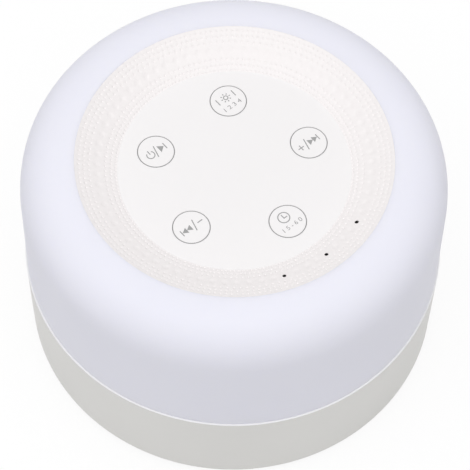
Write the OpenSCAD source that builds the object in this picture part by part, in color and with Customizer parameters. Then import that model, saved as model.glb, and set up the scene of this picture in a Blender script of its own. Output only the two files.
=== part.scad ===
// Bedside white noise machine: a round speaker base under a crowned light shade, with a
// dished control panel of five press keys on top. +Z is up, Z = 0 is the surface that it
// stands on, the axis is at X = Y = 0, and -Y is the side that the timer key is nearest to.

/* [Overall] */
// Diameter at the seam between the base and the shade
body_d = 108; // [104:1:124]
// Height from the standing surface to the rim of the dish
body_h = 68.5; // [66:0.5:80]
// Height of the seam between the base and the shade
seam_z = 29; // [28.5:0.5:33]

/* [Dished panel] */
// Diameter of the panel at its rim
rim_d = 78.8; // [76:0.2:82]
// Diameter of the flat disc in the middle
disc_d = 57.8; // [56:0.2:60]
// Depth of the flat disc below the rim
dish_depth = 5.3; // [4:0.1:6.5]
// How far the sloped ring sags below a straight cone, as a share of its depth
dish_sag = 0.15; // [0:0.05:0.4]
// Wall of the panel, measured straight down
panel_wall = 2; // [1.6:0.1:2.6]
// Height of the panel's upright edge
edge_h = 2.8; // [2.4:0.1:3.4]
// Gap around the panel's edge
rim_gap = 0.1; // [0.05:0.05:0.4]
// Diameter of each indicator pinhole
pinhole_d = 1; // [0.8:0.1:1.4]
// Radius that the pinholes stand on
pinhole_r = 34.1; // [33.6:0.1:34.4]
// Angle between one pinhole and the next
pinhole_step = 20; // [12:1:24]

/* [Keys] */
// Diameter of a key's cap
key_d = 9.3; // [8:0.1:10]
// Diameter of the circle that the keys stand on
key_circle_d = 40.1; // [38:0.1:42]
// Gap around a key's cap
key_gap = 0.12; // [0.1:0.01:0.2]
// How far a key travels when pressed
key_travel = 0.3; // [0.2:0.05:0.4]
// How far the flange under a key reaches past its cap
key_flange_w = 0.65; // [0.5:0.05:1]
// Thickness of that flange
key_flange_t = 0.9; // [0.7:0.1:1.2]
// Gap over the flange when the key is at rest
key_rest_gap = 0.1; // [0.05:0.05:0.2]
// Diameter of the stem under a key
stem_d = 3.2; // [2.6:0.1:3.4]
// Length of the stem
stem_h = 1.7; // [1.4:0.1:2.4]
// Chamfer around the top of a cap
key_chamfer = 0.15; // [0.1:0.05:0.3]

/* [Key switches and board] */
// Side of a switch's square body
switch_w = 6; // [5:0.5:7]
// Height of a switch's body
switch_h = 3.5; // [3:0.1:4.5]
// Diameter of a switch's plunger
plunger_d = 3.4; // [3:0.1:3.8]
// How far the plunger stands out of the switch
plunger_rise = 0.8; // [0.6:0.1:1.2]
// Length of the plunger inside the switch
plunger_root = 1.5; // [1.2:0.1:2]
// Thickness of every circuit board
board_t = 1.6; // [1.2:0.1:2]
// Diameter of the round part of the key board
key_board_d = 60; // [56:1:61]
// Half angle of the key board's tab under the pinholes
tab_half_angle = 27; // [26:1:30]
// Side, end and height of an indicator lamp
lamp_size = [1.6, 0.8, 0.6];
// Bore of the shroud over each indicator lamp
shroud_bore = 2; // [1.9:0.1:2.2]
// Wall of the shroud on each side of the pinholes
shroud_wall = 0.6; // [0.5:0.1:0.9]
// Radius that the bosses over the key board stand on
key_boss_r = 24.6; // [24:0.1:25]
// Diameter of those bosses
key_boss_d = 4.4; // [4.2:0.1:5]

/* [Shade] */
// Wall of the shade
shade_wall = 2.2; // [1.8:0.1:2.6]
// How far the shade stands back from the base's edge at the seam
shade_step = 0.4; // [0:0.1:0.6]
// Radius lost by the upright wall from the seam to the shoulder
shade_draft = 0.2; // [0:0.1:1]
// Diameter at which the crown starts to fall away
crown_d = 80.2; // [79.8:0.2:83]
// Height of the shoulder from its start to the crown
shoulder_h = 13.2; // [11:0.2:16]
// Fullness of the shoulder, where 2 is an ellipse
shoulder_power = 2.3; // [1.8:0.1:2.6]
// Width of the seat under the panel's edge
seat_w = 2.6; // [2.2:0.1:3]
// Thickness of that seat
seat_t = 1.8; // [1.4:0.1:2.2]
// Wall of the neck between the seat and the crown
neck_t = 1.6; // [1.3:0.1:2]
// Diameter of the screw bosses inside the shade
shade_boss_d = 5.6; // [5.2:0.1:6]
// Height of those bosses
shade_boss_h = 10; // [8:0.5:12]
// Thickness of the webs between those bosses and the wall
shade_web_t = 2.4; // [2:0.1:3]

/* [Base] */
// Wall of the base at its foot
base_wall = 2; // [1.7:0.1:2.4]
// Radius lost by the base from the seam to its foot
base_draft = 0.5; // [0.2:0.1:1]
// Rounding along the base's lower edge
base_round = 1.2; // [0.8:0.1:1.8]
// Thickness of the upright lip at the seam
lip_t = 0.9; // [0.8:0.1:1.1]
// Height of that lip over the seam
lip_h = 2; // [1.6:0.1:2.6]
// Chamfer on the base's edge at the seam
seam_chamfer = 0.15; // [0.1:0.05:0.3]
// Open line between the base and the shade
seam_gap = 0.25; // [0.15:0.05:0.4]
// Thickness of the bottom cover
cover_t = 2; // [1.8:0.1:2.6]
// Diameter of the bottom cover
cover_d = 95.2; // [94.6:0.2:96]
// Width of the ledge that the cover seats against
ledge_w = 2.2; // [1.8:0.1:2.4]
// Thickness of the ledge
ledge_t = 1.8; // [1.4:0.1:2.2]
// Count of short ribs that carry the middle plate
rib_count = 8; // [8:8:8]
// Height of each of those ribs
rib_h = 6; // [4:0.5:8]
// Reach of those ribs from the wall
rib_reach = 1.7; // [1.4:0.1:2]
// Thickness of those ribs
rib_t = 2; // [1.6:0.1:3]

/* [Feet and screws] */
// Height that the feet stand out of the cover
foot_h = 1.5; // [1:0.1:2]
// Depth of the pocket that holds each foot
foot_pocket = 0.8; // [0.5:0.1:1]
// Diameter of a foot
foot_d = 9; // [8:0.5:10]
// Radius that the feet stand on
foot_r = 38; // [36:0.5:40]
// Head, head height and shank of the larger screws
big_screw = [5.4, 2, 2.4];
// Head, head height and shank of the smaller screws
small_screw = [3.4, 1.2, 1.6];
// How far a larger screw reaches into its boss
big_grip = 6; // [5:0.5:6.5]
// How far a smaller screw reaches into its boss
small_grip = 4; // [3.5:0.5:4.5]
// Depth of a pilot hole past the end of its screw
pilot_spare = 1; // [0.6:0.1:1.2]
// Diameter of the cover's screw posts
post_d = 8.4; // [8:0.1:8.6]
// Radius that the screw posts stand on
post_r = 40.5; // [40.2:0.1:40.6]
// Angle of the screw posts from the X axis
post_angle = 20; // [17:1:21]

/* [Middle plate and core] */
// Thickness of the middle plate
plate_t = 2; // [1.6:0.1:2.4]
// Length of the bosses under the middle plate
plate_boss_l = 4.6; // [4:0.1:5.5]
// Diameter of those bosses
plate_boss_d = 6.8; // [6.4:0.1:7.2]
// Wall of the core tube
core_wall = 1.6; // [1.2:0.1:2]
// Diameter of the bosses inside the core tube
core_boss_d = 6; // [5.6:0.1:6.2]
// Height of the bosses at the foot of the core tube
core_boss_h = 8; // [6:0.5:9]
// Thickness of the ears near the top of the core tube
ear_t = 2; // [1.6:0.1:2.6]
// Width and depth of the cable slot through the middle plate
cable_slot = [18, 6];
// Distance of the cable slot from the axis
cable_slot_y = 26.2; // [25.6:0.2:27]
// Rounding of the cable slot's corners
cable_slot_round = 2; // [1:0.5:2.5]

/* [Light] */
// Thickness of the ring board
light_board_t = 1.2; // [1:0.1:1.6]
// Width of the ring board
light_board_w = 4.6; // [4.4:0.1:4.6]
// Gap between the ring board and the core tube
light_gap = 0.6; // [0.4:0.1:1]
// Number of light chips
light_count = 16; // [8:8:16]
// Length, width and height of a light chip
light_size = [2.8, 3.5, 1.9];
// Diameter of the hole for the light's leads
light_hole_d = 3.6; // [3.4:0.1:4]
// Distance of that hole's middle from the edge of the middle plate
light_hole_in = 3.6; // [3:0.1:4]

/* [Battery] */
// Length, width and thickness of the battery
battery_size = [50, 34, 10];
// Rounding of the battery's corners
battery_round = 3; // [2:0.5:4]
// Length, width and thickness of its adhesive pad
pad_size = [40, 24, 1];

/* [Main board] */
// Width and depth of the main board
main_size = [40, 18];
// Width and depth of the board's nose under the charging socket
nose_size = [14, 4.2];
// Height of the main board's top over the cover
main_rise = 10.4; // [9:0.1:11]
// Diameter of the posts that carry the board
main_post_d = 5.2; // [4.8:0.1:5.4]
// Places of those posts: half spacing in X, then inset from the inner edge and spacing in Y
main_post_at = [17, 2.9, 7];
// Distance of the key cable's socket from the board's inner edge
main_ribbon_in = 1.6; // [1.4:0.1:2]
// Width, height and depth of the charging socket
socket_size = [8.94, 3.26, 7.35];
// Wall of the charging socket
socket_wall = 0.3; // [0.25:0.05:0.35]
// Wall behind the socket's contacts
socket_back_wall = 0.8; // [0.6:0.1:1.2]
// Depth of the socket's mouth below the outside of the base
socket_recess = 0.75; // [0.4:0.05:1.2]
// Gap around the socket in the base's wall
socket_gap = 0.5; // [0.3:0.05:0.7]
// Width, thickness and length of the contact tongue
tongue_size = [6.7, 0.7, 4.6];
// Diameter of the charge light guide
guide_d = 1.5; // [1.2:0.1:1.8]
// Distance of the charge light guide from the socket's middle
guide_x = 10.5; // [9:0.5:11.5]
// How far the light guide reaches over the board
guide_over = 0.7; // [0.5:0.1:1]
// Width, depth and height of the charge light
charge_lamp_size = [1.6, 1, 1.1];

/* [Speaker] */
// Diameter of the speaker's frame
speaker_d = 52; // [50:0.5:52]
// Height of the seat under the speaker
speaker_seat_h = 2.5; // [2.2:0.1:3.5]
// Width of that seat
speaker_seat_w = 3.4; // [3:0.1:3.5]
// Thickness of the foam ring under the speaker
gasket_t = 1; // [0.8:0.1:1.4]
// Thickness of the pressed frame
frame_t = 1; // [0.8:0.1:1.2]
// Depth of the frame from its flange to its back plate
frame_depth = 8; // [7.5:0.1:8.5]
// Diameter of the frame's back plate
frame_back_d = 35; // [34:0.5:36]
// Outer diameter of the cone
cone_d = 37; // [36:0.5:38]
// Depth of the cone
cone_depth = 5.6; // [5:0.1:5.8]
// Thickness of the cone's paper
cone_t = 0.4; // [0.3:0.05:0.5]
// Outer diameter of the voice coil's former
former_d = 14.8; // [14.4:0.1:15]
// Wall of the former
former_t = 0.3; // [0.25:0.05:0.35]
// Build of the winding on the former
winding_t = 0.4; // [0.3:0.05:0.5]
// Height of the winding
winding_h = 3.6; // [3:0.1:4]
// Width of the rolled surround
roll_w = 3.2; // [2.8:0.1:3.4]
// Thickness of the surround and of the spider
soft_t = 0.3; // [0.25:0.05:0.35]
// Excursion of the cone each way
cone_travel = 0.8; // [0.4:0.1:1]
// Diameter and height of the dust cap
dust_cap_size = [17.2, 2.4];
// Width, thickness and height of the terminal tag
terminal_size = [7, 1.2, 3.4];
// Diameter and thickness of the top plate
top_plate_size = [30, 2];
// Diameter, bore and thickness of the magnet
magnet_size = [32, 20, 4.8];
// Diameter and thickness of the yoke's back plate
yoke_size = [31, 1.6];
// Diameter of the pole in the middle of the yoke
pole_d = 13.2; // [12.8:0.1:13.4]
// Width of the magnetic gap between the pole and the top plate
gap_w = 1.7; // [1.6:0.1:2]
// Radius that the speaker's screws stand on
speaker_screw_r = 29.4; // [29:0.1:30]
// Diameter of the bosses under those screws
speaker_boss_d = 5.4; // [5:0.1:5.6]
// Diameter and thickness of the washers under those screws
washer_size = [8.4, 0.8];
// Distance between neighbouring grille holes
grille_pitch = 4.2; // [3.8:0.1:4.4]
// Diameter of a grille hole
grille_hole_d = 2.2; // [1.6:0.1:2.6]
// Number of rings of grille holes
grille_rings = 4; // [3:1:4]
// Thickness of the dust cloth over the grille
cloth_t = 0.3; // [0.2:0.05:0.4]

/* [Leads] */
// Diameter of an insulated lead
lead_d = 1.2; // [0.8:0.1:1.3]
// Width and thickness of the flat key cable
ribbon_size = [10, 0.3];

/* [Clearances] */
// Gap between shells that are fitted into each other
fit_gap = 0.2; // [0.15:0.05:0.3]
// Gap around a sliding plunger
slide_gap = 0.08; // [0.04:0.01:0.1]
// Gap around a screw's shank in its pilot hole
thread_gap = 0.05; // [0.03:0.01:0.08]
// Gap around a screw's shank where it passes through
pass_gap = 0.3; // [0.2:0.05:0.4]

/* [Hidden] */
$fn = 96;

eps = 0.01; // how far a cut runs past the face that it opens
past = 1; // how far a through cut runs past the wall
curve_steps = 24;
edge_round = 0.3; // small rounding on the visible rims

// Colours
shade_white = "#f0f0f8";
panel_white = "#f6f4f3";
base_grey = "#cecdca";
core_white = "#f4f4f2";
board_green = "#2f6b4a";
chip_black = "#26262a";
bare_steel = "#b9bbbd";
copper = "#b87333";
foam_black = "#303032";
rubber_grey = "#8e8e8c";
lead_red = "#b5322c";
lead_black = "#202022";

// Angles of the keys around the panel
timer_at = -90;
key_step = 72;
next_at = timer_at + key_step;
lamp_at = timer_at + 2 * key_step;
power_at = timer_at + 3 * key_step;
previous_at = timer_at + 4 * key_step;
diagonal = 45;
quarter = 90;

// Radii, from the outside in
body_r = body_d / 2;
base_in_r = body_r - base_draft - base_wall;
lip_r = base_in_r + lip_t;
skirt_in_r = lip_r + fit_gap;
shade_r = body_r - shade_step;
shade_in_r = shade_r - shade_wall;
rim_r = rim_d / 2;
rim_open_r = rim_r + rim_gap;
bore_r = rim_open_r - seat_w;
neck_r = rim_open_r + neck_t;
crown_r = crown_d / 2;
disc_r = disc_d / 2;
core_in_r = bore_r + fit_gap;
core_r = core_in_r + core_wall;
core_boss_r = core_in_r - core_boss_d / 2;
panel_boss_d = core_boss_d - 4 * fit_gap;
plate_r = base_in_r - fit_gap;
shade_boss_r = base_in_r - fit_gap - shade_boss_d / 2;
light_board_in_r = core_r + light_gap;
light_board_out_r = light_board_in_r + light_board_w;
light_r = (light_board_in_r + light_board_out_r) / 2;
light_hole_y = plate_r - light_hole_in;
cover_r = cover_d / 2;
cover_open_r = cover_r + fit_gap;
ledge_r = cover_open_r - ledge_w;
key_circle_r = key_circle_d / 2;
key_r = key_d / 2;
shroud_half_w = shroud_bore / 2 + shroud_wall;
tab_r = pinhole_r + shroud_half_w + fit_gap;

// Heights of the base, from the standing surface up
cover_top_z = foot_h + cover_t;
ledge_top_z = cover_top_z + ledge_t;
post_seat_z = cover_top_z + big_screw[1];
plate_z = seam_z - plate_t;
plate_boss_z = plate_z - plate_boss_l;
base_top_z = seam_z - seam_gap / 2;
skirt_z = seam_z + seam_gap / 2;
lip_top_z = base_top_z + lip_h;
groove_z = lip_top_z + fit_gap;

// Heights of the panel and the keys, from the rim down
disc_z = body_h - dish_depth;
seat_z = body_h - edge_h;
seat_low_z = seat_z - seat_t;
panel_low_z = disc_z - panel_wall;
flange_top_z = panel_low_z - key_rest_gap;
flange_low_z = flange_top_z - key_flange_t;
stem_low_z = flange_low_z - stem_h;
switch_top_z = stem_low_z - plunger_rise;
key_board_top_z = switch_top_z - switch_h;
key_board_z = key_board_top_z - board_t;
ear_top_z = key_board_z - 3 * fit_gap;
ear_z = ear_top_z - ear_t;
shoulder_z = body_h - shoulder_h;

// Heights inside the core, from the middle plate up
battery_z = seam_z + pad_size[2];
light_chip_z = seam_z + light_board_t;

// Heights of the speaker, from the cover up
seat_ring_z = cover_top_z + speaker_seat_h;
speaker_z = seat_ring_z + gasket_t;
frame_z = speaker_z + soft_t;
frame_top_z = frame_z + frame_t;
frame_back_z = frame_z + frame_depth;
frame_back_top_z = frame_back_z - frame_t;
magnet_z = frame_back_z + top_plate_size[1];
yoke_z = magnet_z + magnet_size[2];
speaker_r = speaker_d / 2;
cone_r = cone_d / 2;
former_r = former_d / 2;
neck_z = frame_z + cone_depth - cone_t;
roll_r = cone_r + roll_w / 2;
spider_z = neck_z + cone_t + fit_gap;
spider_r = frame_back_d / 2 - frame_t - fit_gap;
plate_bore_r = pole_d / 2 + gap_w;
terminal_y = speaker_r - 0.8;
glue_gap = 0.1; // between the former and what is glued to it

// Places on the main board
main_top_z = cover_top_z + main_rise;
main_z = main_top_z - board_t;
nose_y = sqrt(pow(base_in_r - fit_gap, 2) - pow(nose_size[0] / 2, 2));
main_y = nose_y - nose_size[1] - main_size[1];
main_back_y = main_y + main_size[1];
socket_z = main_top_z + socket_size[1] / 2;
base_mid_r = body_r - base_draft * (base_top_z - socket_z) / (base_top_z - foot_h);
socket_front_y = base_mid_r - socket_recess;
guide_z = main_top_z + guide_d / 2 + fit_gap;
guide_back_y = main_back_y - guide_over;
guide_front_y = sqrt(pow(base_mid_r, 2) - pow(guide_x + guide_d / 2, 2));

// Middle, width, depth and height of each chip and each socket, from the board's inner edge
main_chips = [[-4.5, 8.4, 7, 7, 1.6], [5, 8.4, 5, 4, 1.5], [11, 9.4, 5, 4, 1.5]];
main_cans = [[-13, 14], [-7.6, 14.6]];
can_size = [5, 5.4];
key_socket_size = [12, 2.2, 2];
plug_size = [6, 4, 4];
main_sockets = [[11.5, 2.6], [-11.5, 2.6], [16, 14.2]];

// Leads: the points that each one passes, joined by a smooth curve
lead_steps = 4;
lead_spacing = lead_d + 0.3;
lead_gap = 0.3; // from a lead's cut end to what it is joined to
ribbon_top_y = 18.4;
plug_top_z = main_top_z + plug_size[2];

// Height of the panel's upper face at radius r
function dish_height(r) =
    let (t = max(0, (r - disc_r) / (rim_r - disc_r)))
    disc_z + dish_depth * t * (1 - dish_sag + dish_sag * t);

// Quarter of a superellipse around [cr, cz], from the side to the top, from_a and to_a in 0..90
function shoulder(cr, cz, a, b, from_a, to_a) =
    [for (i = [0:curve_steps])
        let (t = from_a + (to_a - from_a) * i / curve_steps)
        [cr + a * pow(max(0, cos(t)), 2 / shoulder_power),
         cz + b * pow(max(0, sin(t)), 2 / shoulder_power)]];

// Arc of radius r around [cx, cy]
function arc(cx, cy, r, from_a, to_a, n = 8) =
    [for (i = [0:n])
        let (t = from_a + (to_a - from_a) * i / n)
        [cx + r * cos(t), cy + r * sin(t)]];

// List a in reverse order
function reversed(a) = [for (i = [len(a) - 1:-1:0]) a[i]];

// Smooth curve through the points p
function spline(p) =
    [for (i = [0:len(p) - 2], s = [0:lead_steps - 1])
        let (a = p[max(0, i - 1)], b = p[i], c = p[i + 1], d = p[min(len(p) - 1, i + 2)])
        let (t = s / lead_steps)
        0.5 * (2 * b + (c - a) * t + (2 * a - 5 * b + 4 * c - d) * t * t
            + (3 * b - a - 3 * c + d) * t * t * t),
     p[len(p) - 1]];

// Direction of the curve p at point i
function heading(p, i) =
    let (d = p[min(len(p) - 1, i + 1)] - p[max(0, i - 1)])
    d / norm(d);

module polar(r, a, z = 0) {
    translate([r * cos(a), r * sin(a), z]) children();
}

module around(n, r, first, z = 0) {
    for (i = [0:n - 1])
        polar(r, first + i * 360 / n, z) children();
}

module corners(z = 0) {
    for (side = [-1, 1], end = [-1, 1])
        translate([side * post_r * cos(post_angle), end * post_r * sin(post_angle), z]) children();
}

module tube_ring(r_out, r_in, h) {
    rotate_extrude() translate([r_in, 0]) square([r_out - r_in, h]);
}

module block(size) {
    translate([-size[0] / 2, -size[1] / 2, 0]) cube(size);
}

module rounded_block(size, r) {
    linear_extrude(size[2]) {
        square([size[0] - 2 * r, size[1]], center = true);
        square([size[0], size[1] - 2 * r], center = true);
        for (x = [-1, 1], y = [-1, 1])
            translate([x * (size[0] / 2 - r), y * (size[1] / 2 - r)]) circle(r);
    }
}

// Flat-ended slot outline, w wide and h high
module slot_outline(w, h) {
    square([w - h, h], center = true);
    for (side = [-1, 1])
        translate([side * (w - h) / 2, 0]) circle(d = h);
}

// Screw with its seat at z = 0 and its shank up
module screw(kind, shank_l) {
    recess = [kind[0] * 0.6, kind[0] * 0.16, kind[1] * 0.6];
    difference() {
        union() {
            translate([0, 0, -kind[1]]) cylinder(d = kind[0], h = kind[1]);
            cylinder(d = kind[2], h = shank_l);
        }
        for (a = [0, quarter])
            rotate(a)
                translate([0, 0, -kind[1] - eps]) block(recess);
    }
}

module pilot(kind, l) {
    cylinder(d = kind[2] + 2 * thread_gap, h = l);
}

module passage(kind, l) {
    translate([0, 0, -eps]) cylinder(d = kind[2] + 2 * pass_gap, h = l + 2 * eps);
}

// Two round leads that run side by side along the curve through points
module lead_pair(points, up) {
    for (side = [-1, 1])
        lead(points, up, side * lead_spacing / 2);
}

// Round lead, swept along the curve through points and shifted sideways from it
module lead(points, up, shift) {
    sides = 8;
    r = lead_d / 2;
    p = spline(points);
    rings = [for (i = [0:len(p) - 1])
        let (t = heading(p, i), n = cross(t, up), u = n / norm(n), v = cross(t, u))
        for (k = [0:sides - 1])
            p[i] + (shift + r * cos(360 * k / sides)) * u + r * sin(360 * k / sides) * v];
    walls = [for (i = [0:len(p) - 2], k = [0:sides - 1])
        let (a = i * sides + k, b = i * sides + (k + 1) % sides)
        [a, a + sides, b + sides, b]];
    ends = [[for (k = [0:sides - 1]) k],
        [for (k = [sides - 1:-1:0]) (len(p) - 1) * sides + k]];
    polyhedron(rings, concat(walls, ends));
}

// ---- Shells ----

module diffuser_shade() {
    side_r = shade_r - shade_draft;
    outer_a = side_r - crown_r;
    inner_a = outer_a - shade_wall;
    inner_b = shoulder_h - shade_wall;
    neck_angle = acos(pow((neck_r - crown_r) / inner_a, shoulder_power / 2));
    outline = concat(
        [[skirt_in_r, skirt_z], [shade_r, skirt_z]],
        shoulder(crown_r, shoulder_z, outer_a, shoulder_h, 0, quarter),
        arc(rim_open_r + edge_round, body_h - edge_round, edge_round, quarter, 2 * quarter, 4),
        [[rim_open_r, seat_z], [bore_r, seat_z], [bore_r, seat_low_z], [neck_r, seat_low_z]],
        reversed(shoulder(crown_r, shoulder_z, inner_a, inner_b, 0, neck_angle)),
        [[shade_in_r, groove_z], [skirt_in_r, groove_z]]);
    web_z = groove_z + past;
    web = [shade_in_r - shade_boss_r + fit_gap, shade_web_t, seam_z + shade_boss_h - web_z];
    color(shade_white, 0.9)
        difference() {
            union() {
                rotate_extrude($fn = 180) polygon(outline);
                around(4, shade_boss_r, diagonal, seam_z)
                    cylinder(d = shade_boss_d, h = shade_boss_h);
                for (i = [0:3])
                    rotate(diagonal + i * quarter)
                        translate([shade_boss_r, -shade_web_t / 2, web_z]) cube(web);
            }
            around(4, shade_boss_r, diagonal, seam_z - eps)
                pilot(big_screw, big_grip + pilot_spare);
            indicator_space();
        }
}

module top_panel() {
    slope_steps = 10;
    inner_step_r = bore_r - fit_gap;
    upper = [for (i = [0:slope_steps])
        let (r = disc_r + (rim_r - edge_round - disc_r) * i / slope_steps)
        [r, dish_height(r)]];
    lower = [for (i = [0:slope_steps])
        let (r = disc_r + (inner_step_r - disc_r) * i / slope_steps)
        [r, dish_height(r) - panel_wall]];
    outline = concat(
        [[0, disc_z]],
        upper,
        [[rim_r, body_h - edge_round], [rim_r, seat_z], [inner_step_r, seat_z]],
        reversed(lower),
        [[0, panel_low_z]]);
    boss_top_z = dish_height(core_boss_r - panel_boss_d / 2) - panel_wall / 4;
    color(panel_white)
        difference() {
            union() {
                rotate_extrude($fn = 180) polygon(outline);
                around(4, core_boss_r, diagonal, ear_top_z)
                    cylinder(d = panel_boss_d, h = boss_top_z - ear_top_z);
                around(5, key_boss_r, timer_at + key_step / 2, key_board_top_z)
                    cylinder(d = key_boss_d, h = panel_low_z - key_board_top_z + eps);
            }
            around(5, key_circle_r, timer_at, panel_low_z - past)
                cylinder(r = key_r + key_gap, h = panel_wall + 2 * past);
            for (i = [-1:1])
                polar(pinhole_r, timer_at + i * pinhole_step, panel_low_z)
                    cylinder(d = pinhole_d, h = dish_depth + panel_wall + past);
            around(4, core_boss_r, diagonal, ear_top_z - eps)
                pilot(big_screw, big_grip + pilot_spare);
            around(5, key_boss_r, timer_at + key_step / 2, key_board_top_z - eps)
                pilot(small_screw, small_grip + pilot_spare);
        }
}

module base_shell() {
    low_r = body_r - base_draft;
    outline = concat(
        [[cover_open_r, foot_h]],
        arc(low_r - base_round, foot_h + base_round, base_round, -quarter, 0),
        [[body_r, base_top_z - seam_chamfer], [body_r - seam_chamfer, base_top_z],
         [lip_r, base_top_z], [lip_r, lip_top_z], [base_in_r, lip_top_z],
         [base_in_r, ledge_top_z], [ledge_r, ledge_top_z], [ledge_r, cover_top_z],
         [cover_open_r, cover_top_z]]);
    opening = [socket_size[0] + 2 * socket_gap, socket_size[1] + 2 * socket_gap];
    cut_l = body_r - base_in_r + 4 * past;
    color(base_grey)
        difference() {
            union() {
                rotate_extrude($fn = 180) polygon(outline);
                for (i = [0:rib_count - 1])
                    rotate((i + 0.5) * 360 / rib_count)
                        translate([base_in_r - rib_reach, -rib_t / 2, plate_z - rib_h])
                            cube([rib_reach + base_wall / 2, rib_t, rib_h]);
            }
            translate([0, body_r + past, socket_z])
                rotate([quarter, 0, 0])
                    linear_extrude(cut_l) slot_outline(opening[0], opening[1]);
            translate([guide_x, body_r + past, guide_z])
                rotate([quarter, 0, 0]) cylinder(d = guide_d + 2 * slide_gap, h = cut_l);
        }
}

module bottom_cover() {
    ring_in_r = speaker_r - speaker_seat_w;
    post_h = plate_boss_z - fit_gap / 2 - cover_top_z;
    counterbore_d = big_screw[0] + 2 * pass_gap;
    small_hole = small_grip + pilot_spare;
    color(base_grey)
        difference() {
            union() {
                translate([0, 0, foot_h]) cylinder(r = cover_r, h = cover_t);
                translate([0, 0, cover_top_z])
                    tube_ring(speaker_r, ring_in_r, speaker_seat_h);
                corners(cover_top_z) cylinder(d = post_d, h = post_h);
                around(4, speaker_screw_r, diagonal, cover_top_z)
                    cylinder(d = speaker_boss_d, h = frame_top_z - cover_top_z);
                main_posts(cover_top_z) cylinder(d = main_post_d, h = main_z - cover_top_z);
            }
            corners(foot_h - eps) cylinder(d = counterbore_d, h = post_seat_z - foot_h + eps);
            corners(post_seat_z) passage(big_screw, post_h);
            around(4, foot_r, diagonal, foot_h - eps)
                cylinder(d = foot_d + 2 * fit_gap, h = foot_pocket + eps);
            around(4, speaker_screw_r, diagonal, frame_top_z - small_hole)
                pilot(small_screw, small_hole + past);
            main_posts(main_z - small_hole) pilot(small_screw, small_hole + past);
            translate([0, 0, foot_h - past]) grille_holes(cover_t + 2 * past);
        }
}

module grille_holes(h) {
    cylinder(d = grille_hole_d, h = h, $fn = 24);
    for (ring = [1:grille_rings])
        around(6 * ring, ring * grille_pitch, 0) cylinder(d = grille_hole_d, h = h, $fn = 24);
}

module foot_pads() {
    color(rubber_grey)
        around(4, foot_r, diagonal) {
            translate([0, 0, edge_round]) cylinder(d = foot_d, h = foot_h + foot_pocket - edge_round);
            cylinder(d1 = foot_d - 2 * edge_round, d2 = foot_d, h = edge_round);
        }
}

module cover_screws() {
    color(bare_steel)
        corners(post_seat_z) screw(big_screw, plate_z - post_seat_z - pilot_spare);
}

// ---- Keys ----

module key(a) {
    outline = [[0, stem_low_z], [stem_d / 2, stem_low_z], [stem_d / 2, flange_low_z],
        [key_r + key_flange_w, flange_low_z], [key_r + key_flange_w, flange_top_z],
        [key_r, flange_top_z], [key_r, disc_z - key_chamfer],
        [key_r - key_chamfer, disc_z], [0, disc_z]];
    color(panel_white)
        polar(key_circle_r, a) rotate_extrude() polygon(outline);
}

module plunger(a) {
    color(chip_black)
        polar(key_circle_r, a, switch_top_z - plunger_root)
            cylinder(d = plunger_d, h = plunger_root + plunger_rise);
}

module power_key() { key(power_at); }
module lamp_key() { key(lamp_at); }
module next_key() { key(next_at); }
module timer_key() { key(timer_at); }
module previous_key() { key(previous_at); }
module power_plunger() { plunger(power_at); }
module lamp_plunger() { plunger(lamp_at); }
module next_plunger() { plunger(next_at); }
module timer_plunger() { plunger(timer_at); }
module previous_plunger() { plunger(previous_at); }

module key_switches() {
    color(bare_steel)
        around(5, key_circle_r, timer_at, key_board_top_z)
            difference() {
                block([switch_w, switch_w, switch_h]);
                translate([0, 0, switch_h - plunger_root - key_travel - slide_gap])
                    cylinder(d = plunger_d + 2 * slide_gap, h = switch_h);
            }
}

module key_board() {
    color(board_green)
        difference() {
            translate([0, 0, key_board_z])
                linear_extrude(board_t) {
                    circle(d = key_board_d, $fn = 180);
                    intersection() {
                        circle(tab_r, $fn = 180);
                        wedge(tab_half_angle);
                    }
                }
            around(5, key_boss_r, timer_at + key_step / 2, key_board_z)
                passage(small_screw, board_t);
        }
}

// Wedge around the pinholes' side, from the axis out
module wedge(half_angle) {
    reach = 2 * rim_r;
    polygon([[0, 0],
        [reach * cos(timer_at - half_angle), reach * sin(timer_at - half_angle)],
        [reach * cos(timer_at + half_angle), reach * sin(timer_at + half_angle)]]);
}

module key_board_screws() {
    color(bare_steel)
        around(5, key_boss_r, timer_at + key_step / 2, key_board_z) screw(small_screw, board_t + small_grip);
}

module key_board_socket() {
    color(panel_white)
        translate([0, ribbon_top_y, key_board_z - key_socket_size[2]]) block(key_socket_size);
}

module indicator_lamps() {
    color("white")
        for (i = [-1:1])
            polar(pinhole_r, timer_at + i * pinhole_step, key_board_top_z)
                rotate(timer_at + i * pinhole_step) block(lamp_size);
}

module indicator_shroud() {
    half_angle = pinhole_step + 5;
    in_r = pinhole_r - shroud_half_w;
    out_r = pinhole_r + shroud_half_w;
    outline = [[in_r, key_board_top_z], [out_r, key_board_top_z],
        [out_r, min(dish_height(out_r) - panel_wall, seat_z) - fit_gap],
        [in_r, dish_height(in_r) - panel_wall - fit_gap]];
    color(foam_black)
        difference() {
            rotate(timer_at - half_angle)
                rotate_extrude(angle = 2 * half_angle, $fn = 180) polygon(outline);
            for (i = [-1:1])
                polar(pinhole_r, timer_at + i * pinhole_step, key_board_top_z - eps)
                    cylinder(d = shroud_bore, h = seat_z, $fn = 32);
        }
}

// Room around the shroud and the board's tab, where they reach the seat or the core tube
module indicator_space() {
    half_angle = tab_half_angle + 2;
    low_z = key_board_z - fit_gap;
    rotate(timer_at - half_angle)
        rotate_extrude(angle = 2 * half_angle, $fn = 180)
            translate([0, low_z]) square([tab_r + fit_gap, seat_z + eps - low_z]);
}

// ---- Core, middle plate and light ----

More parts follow.
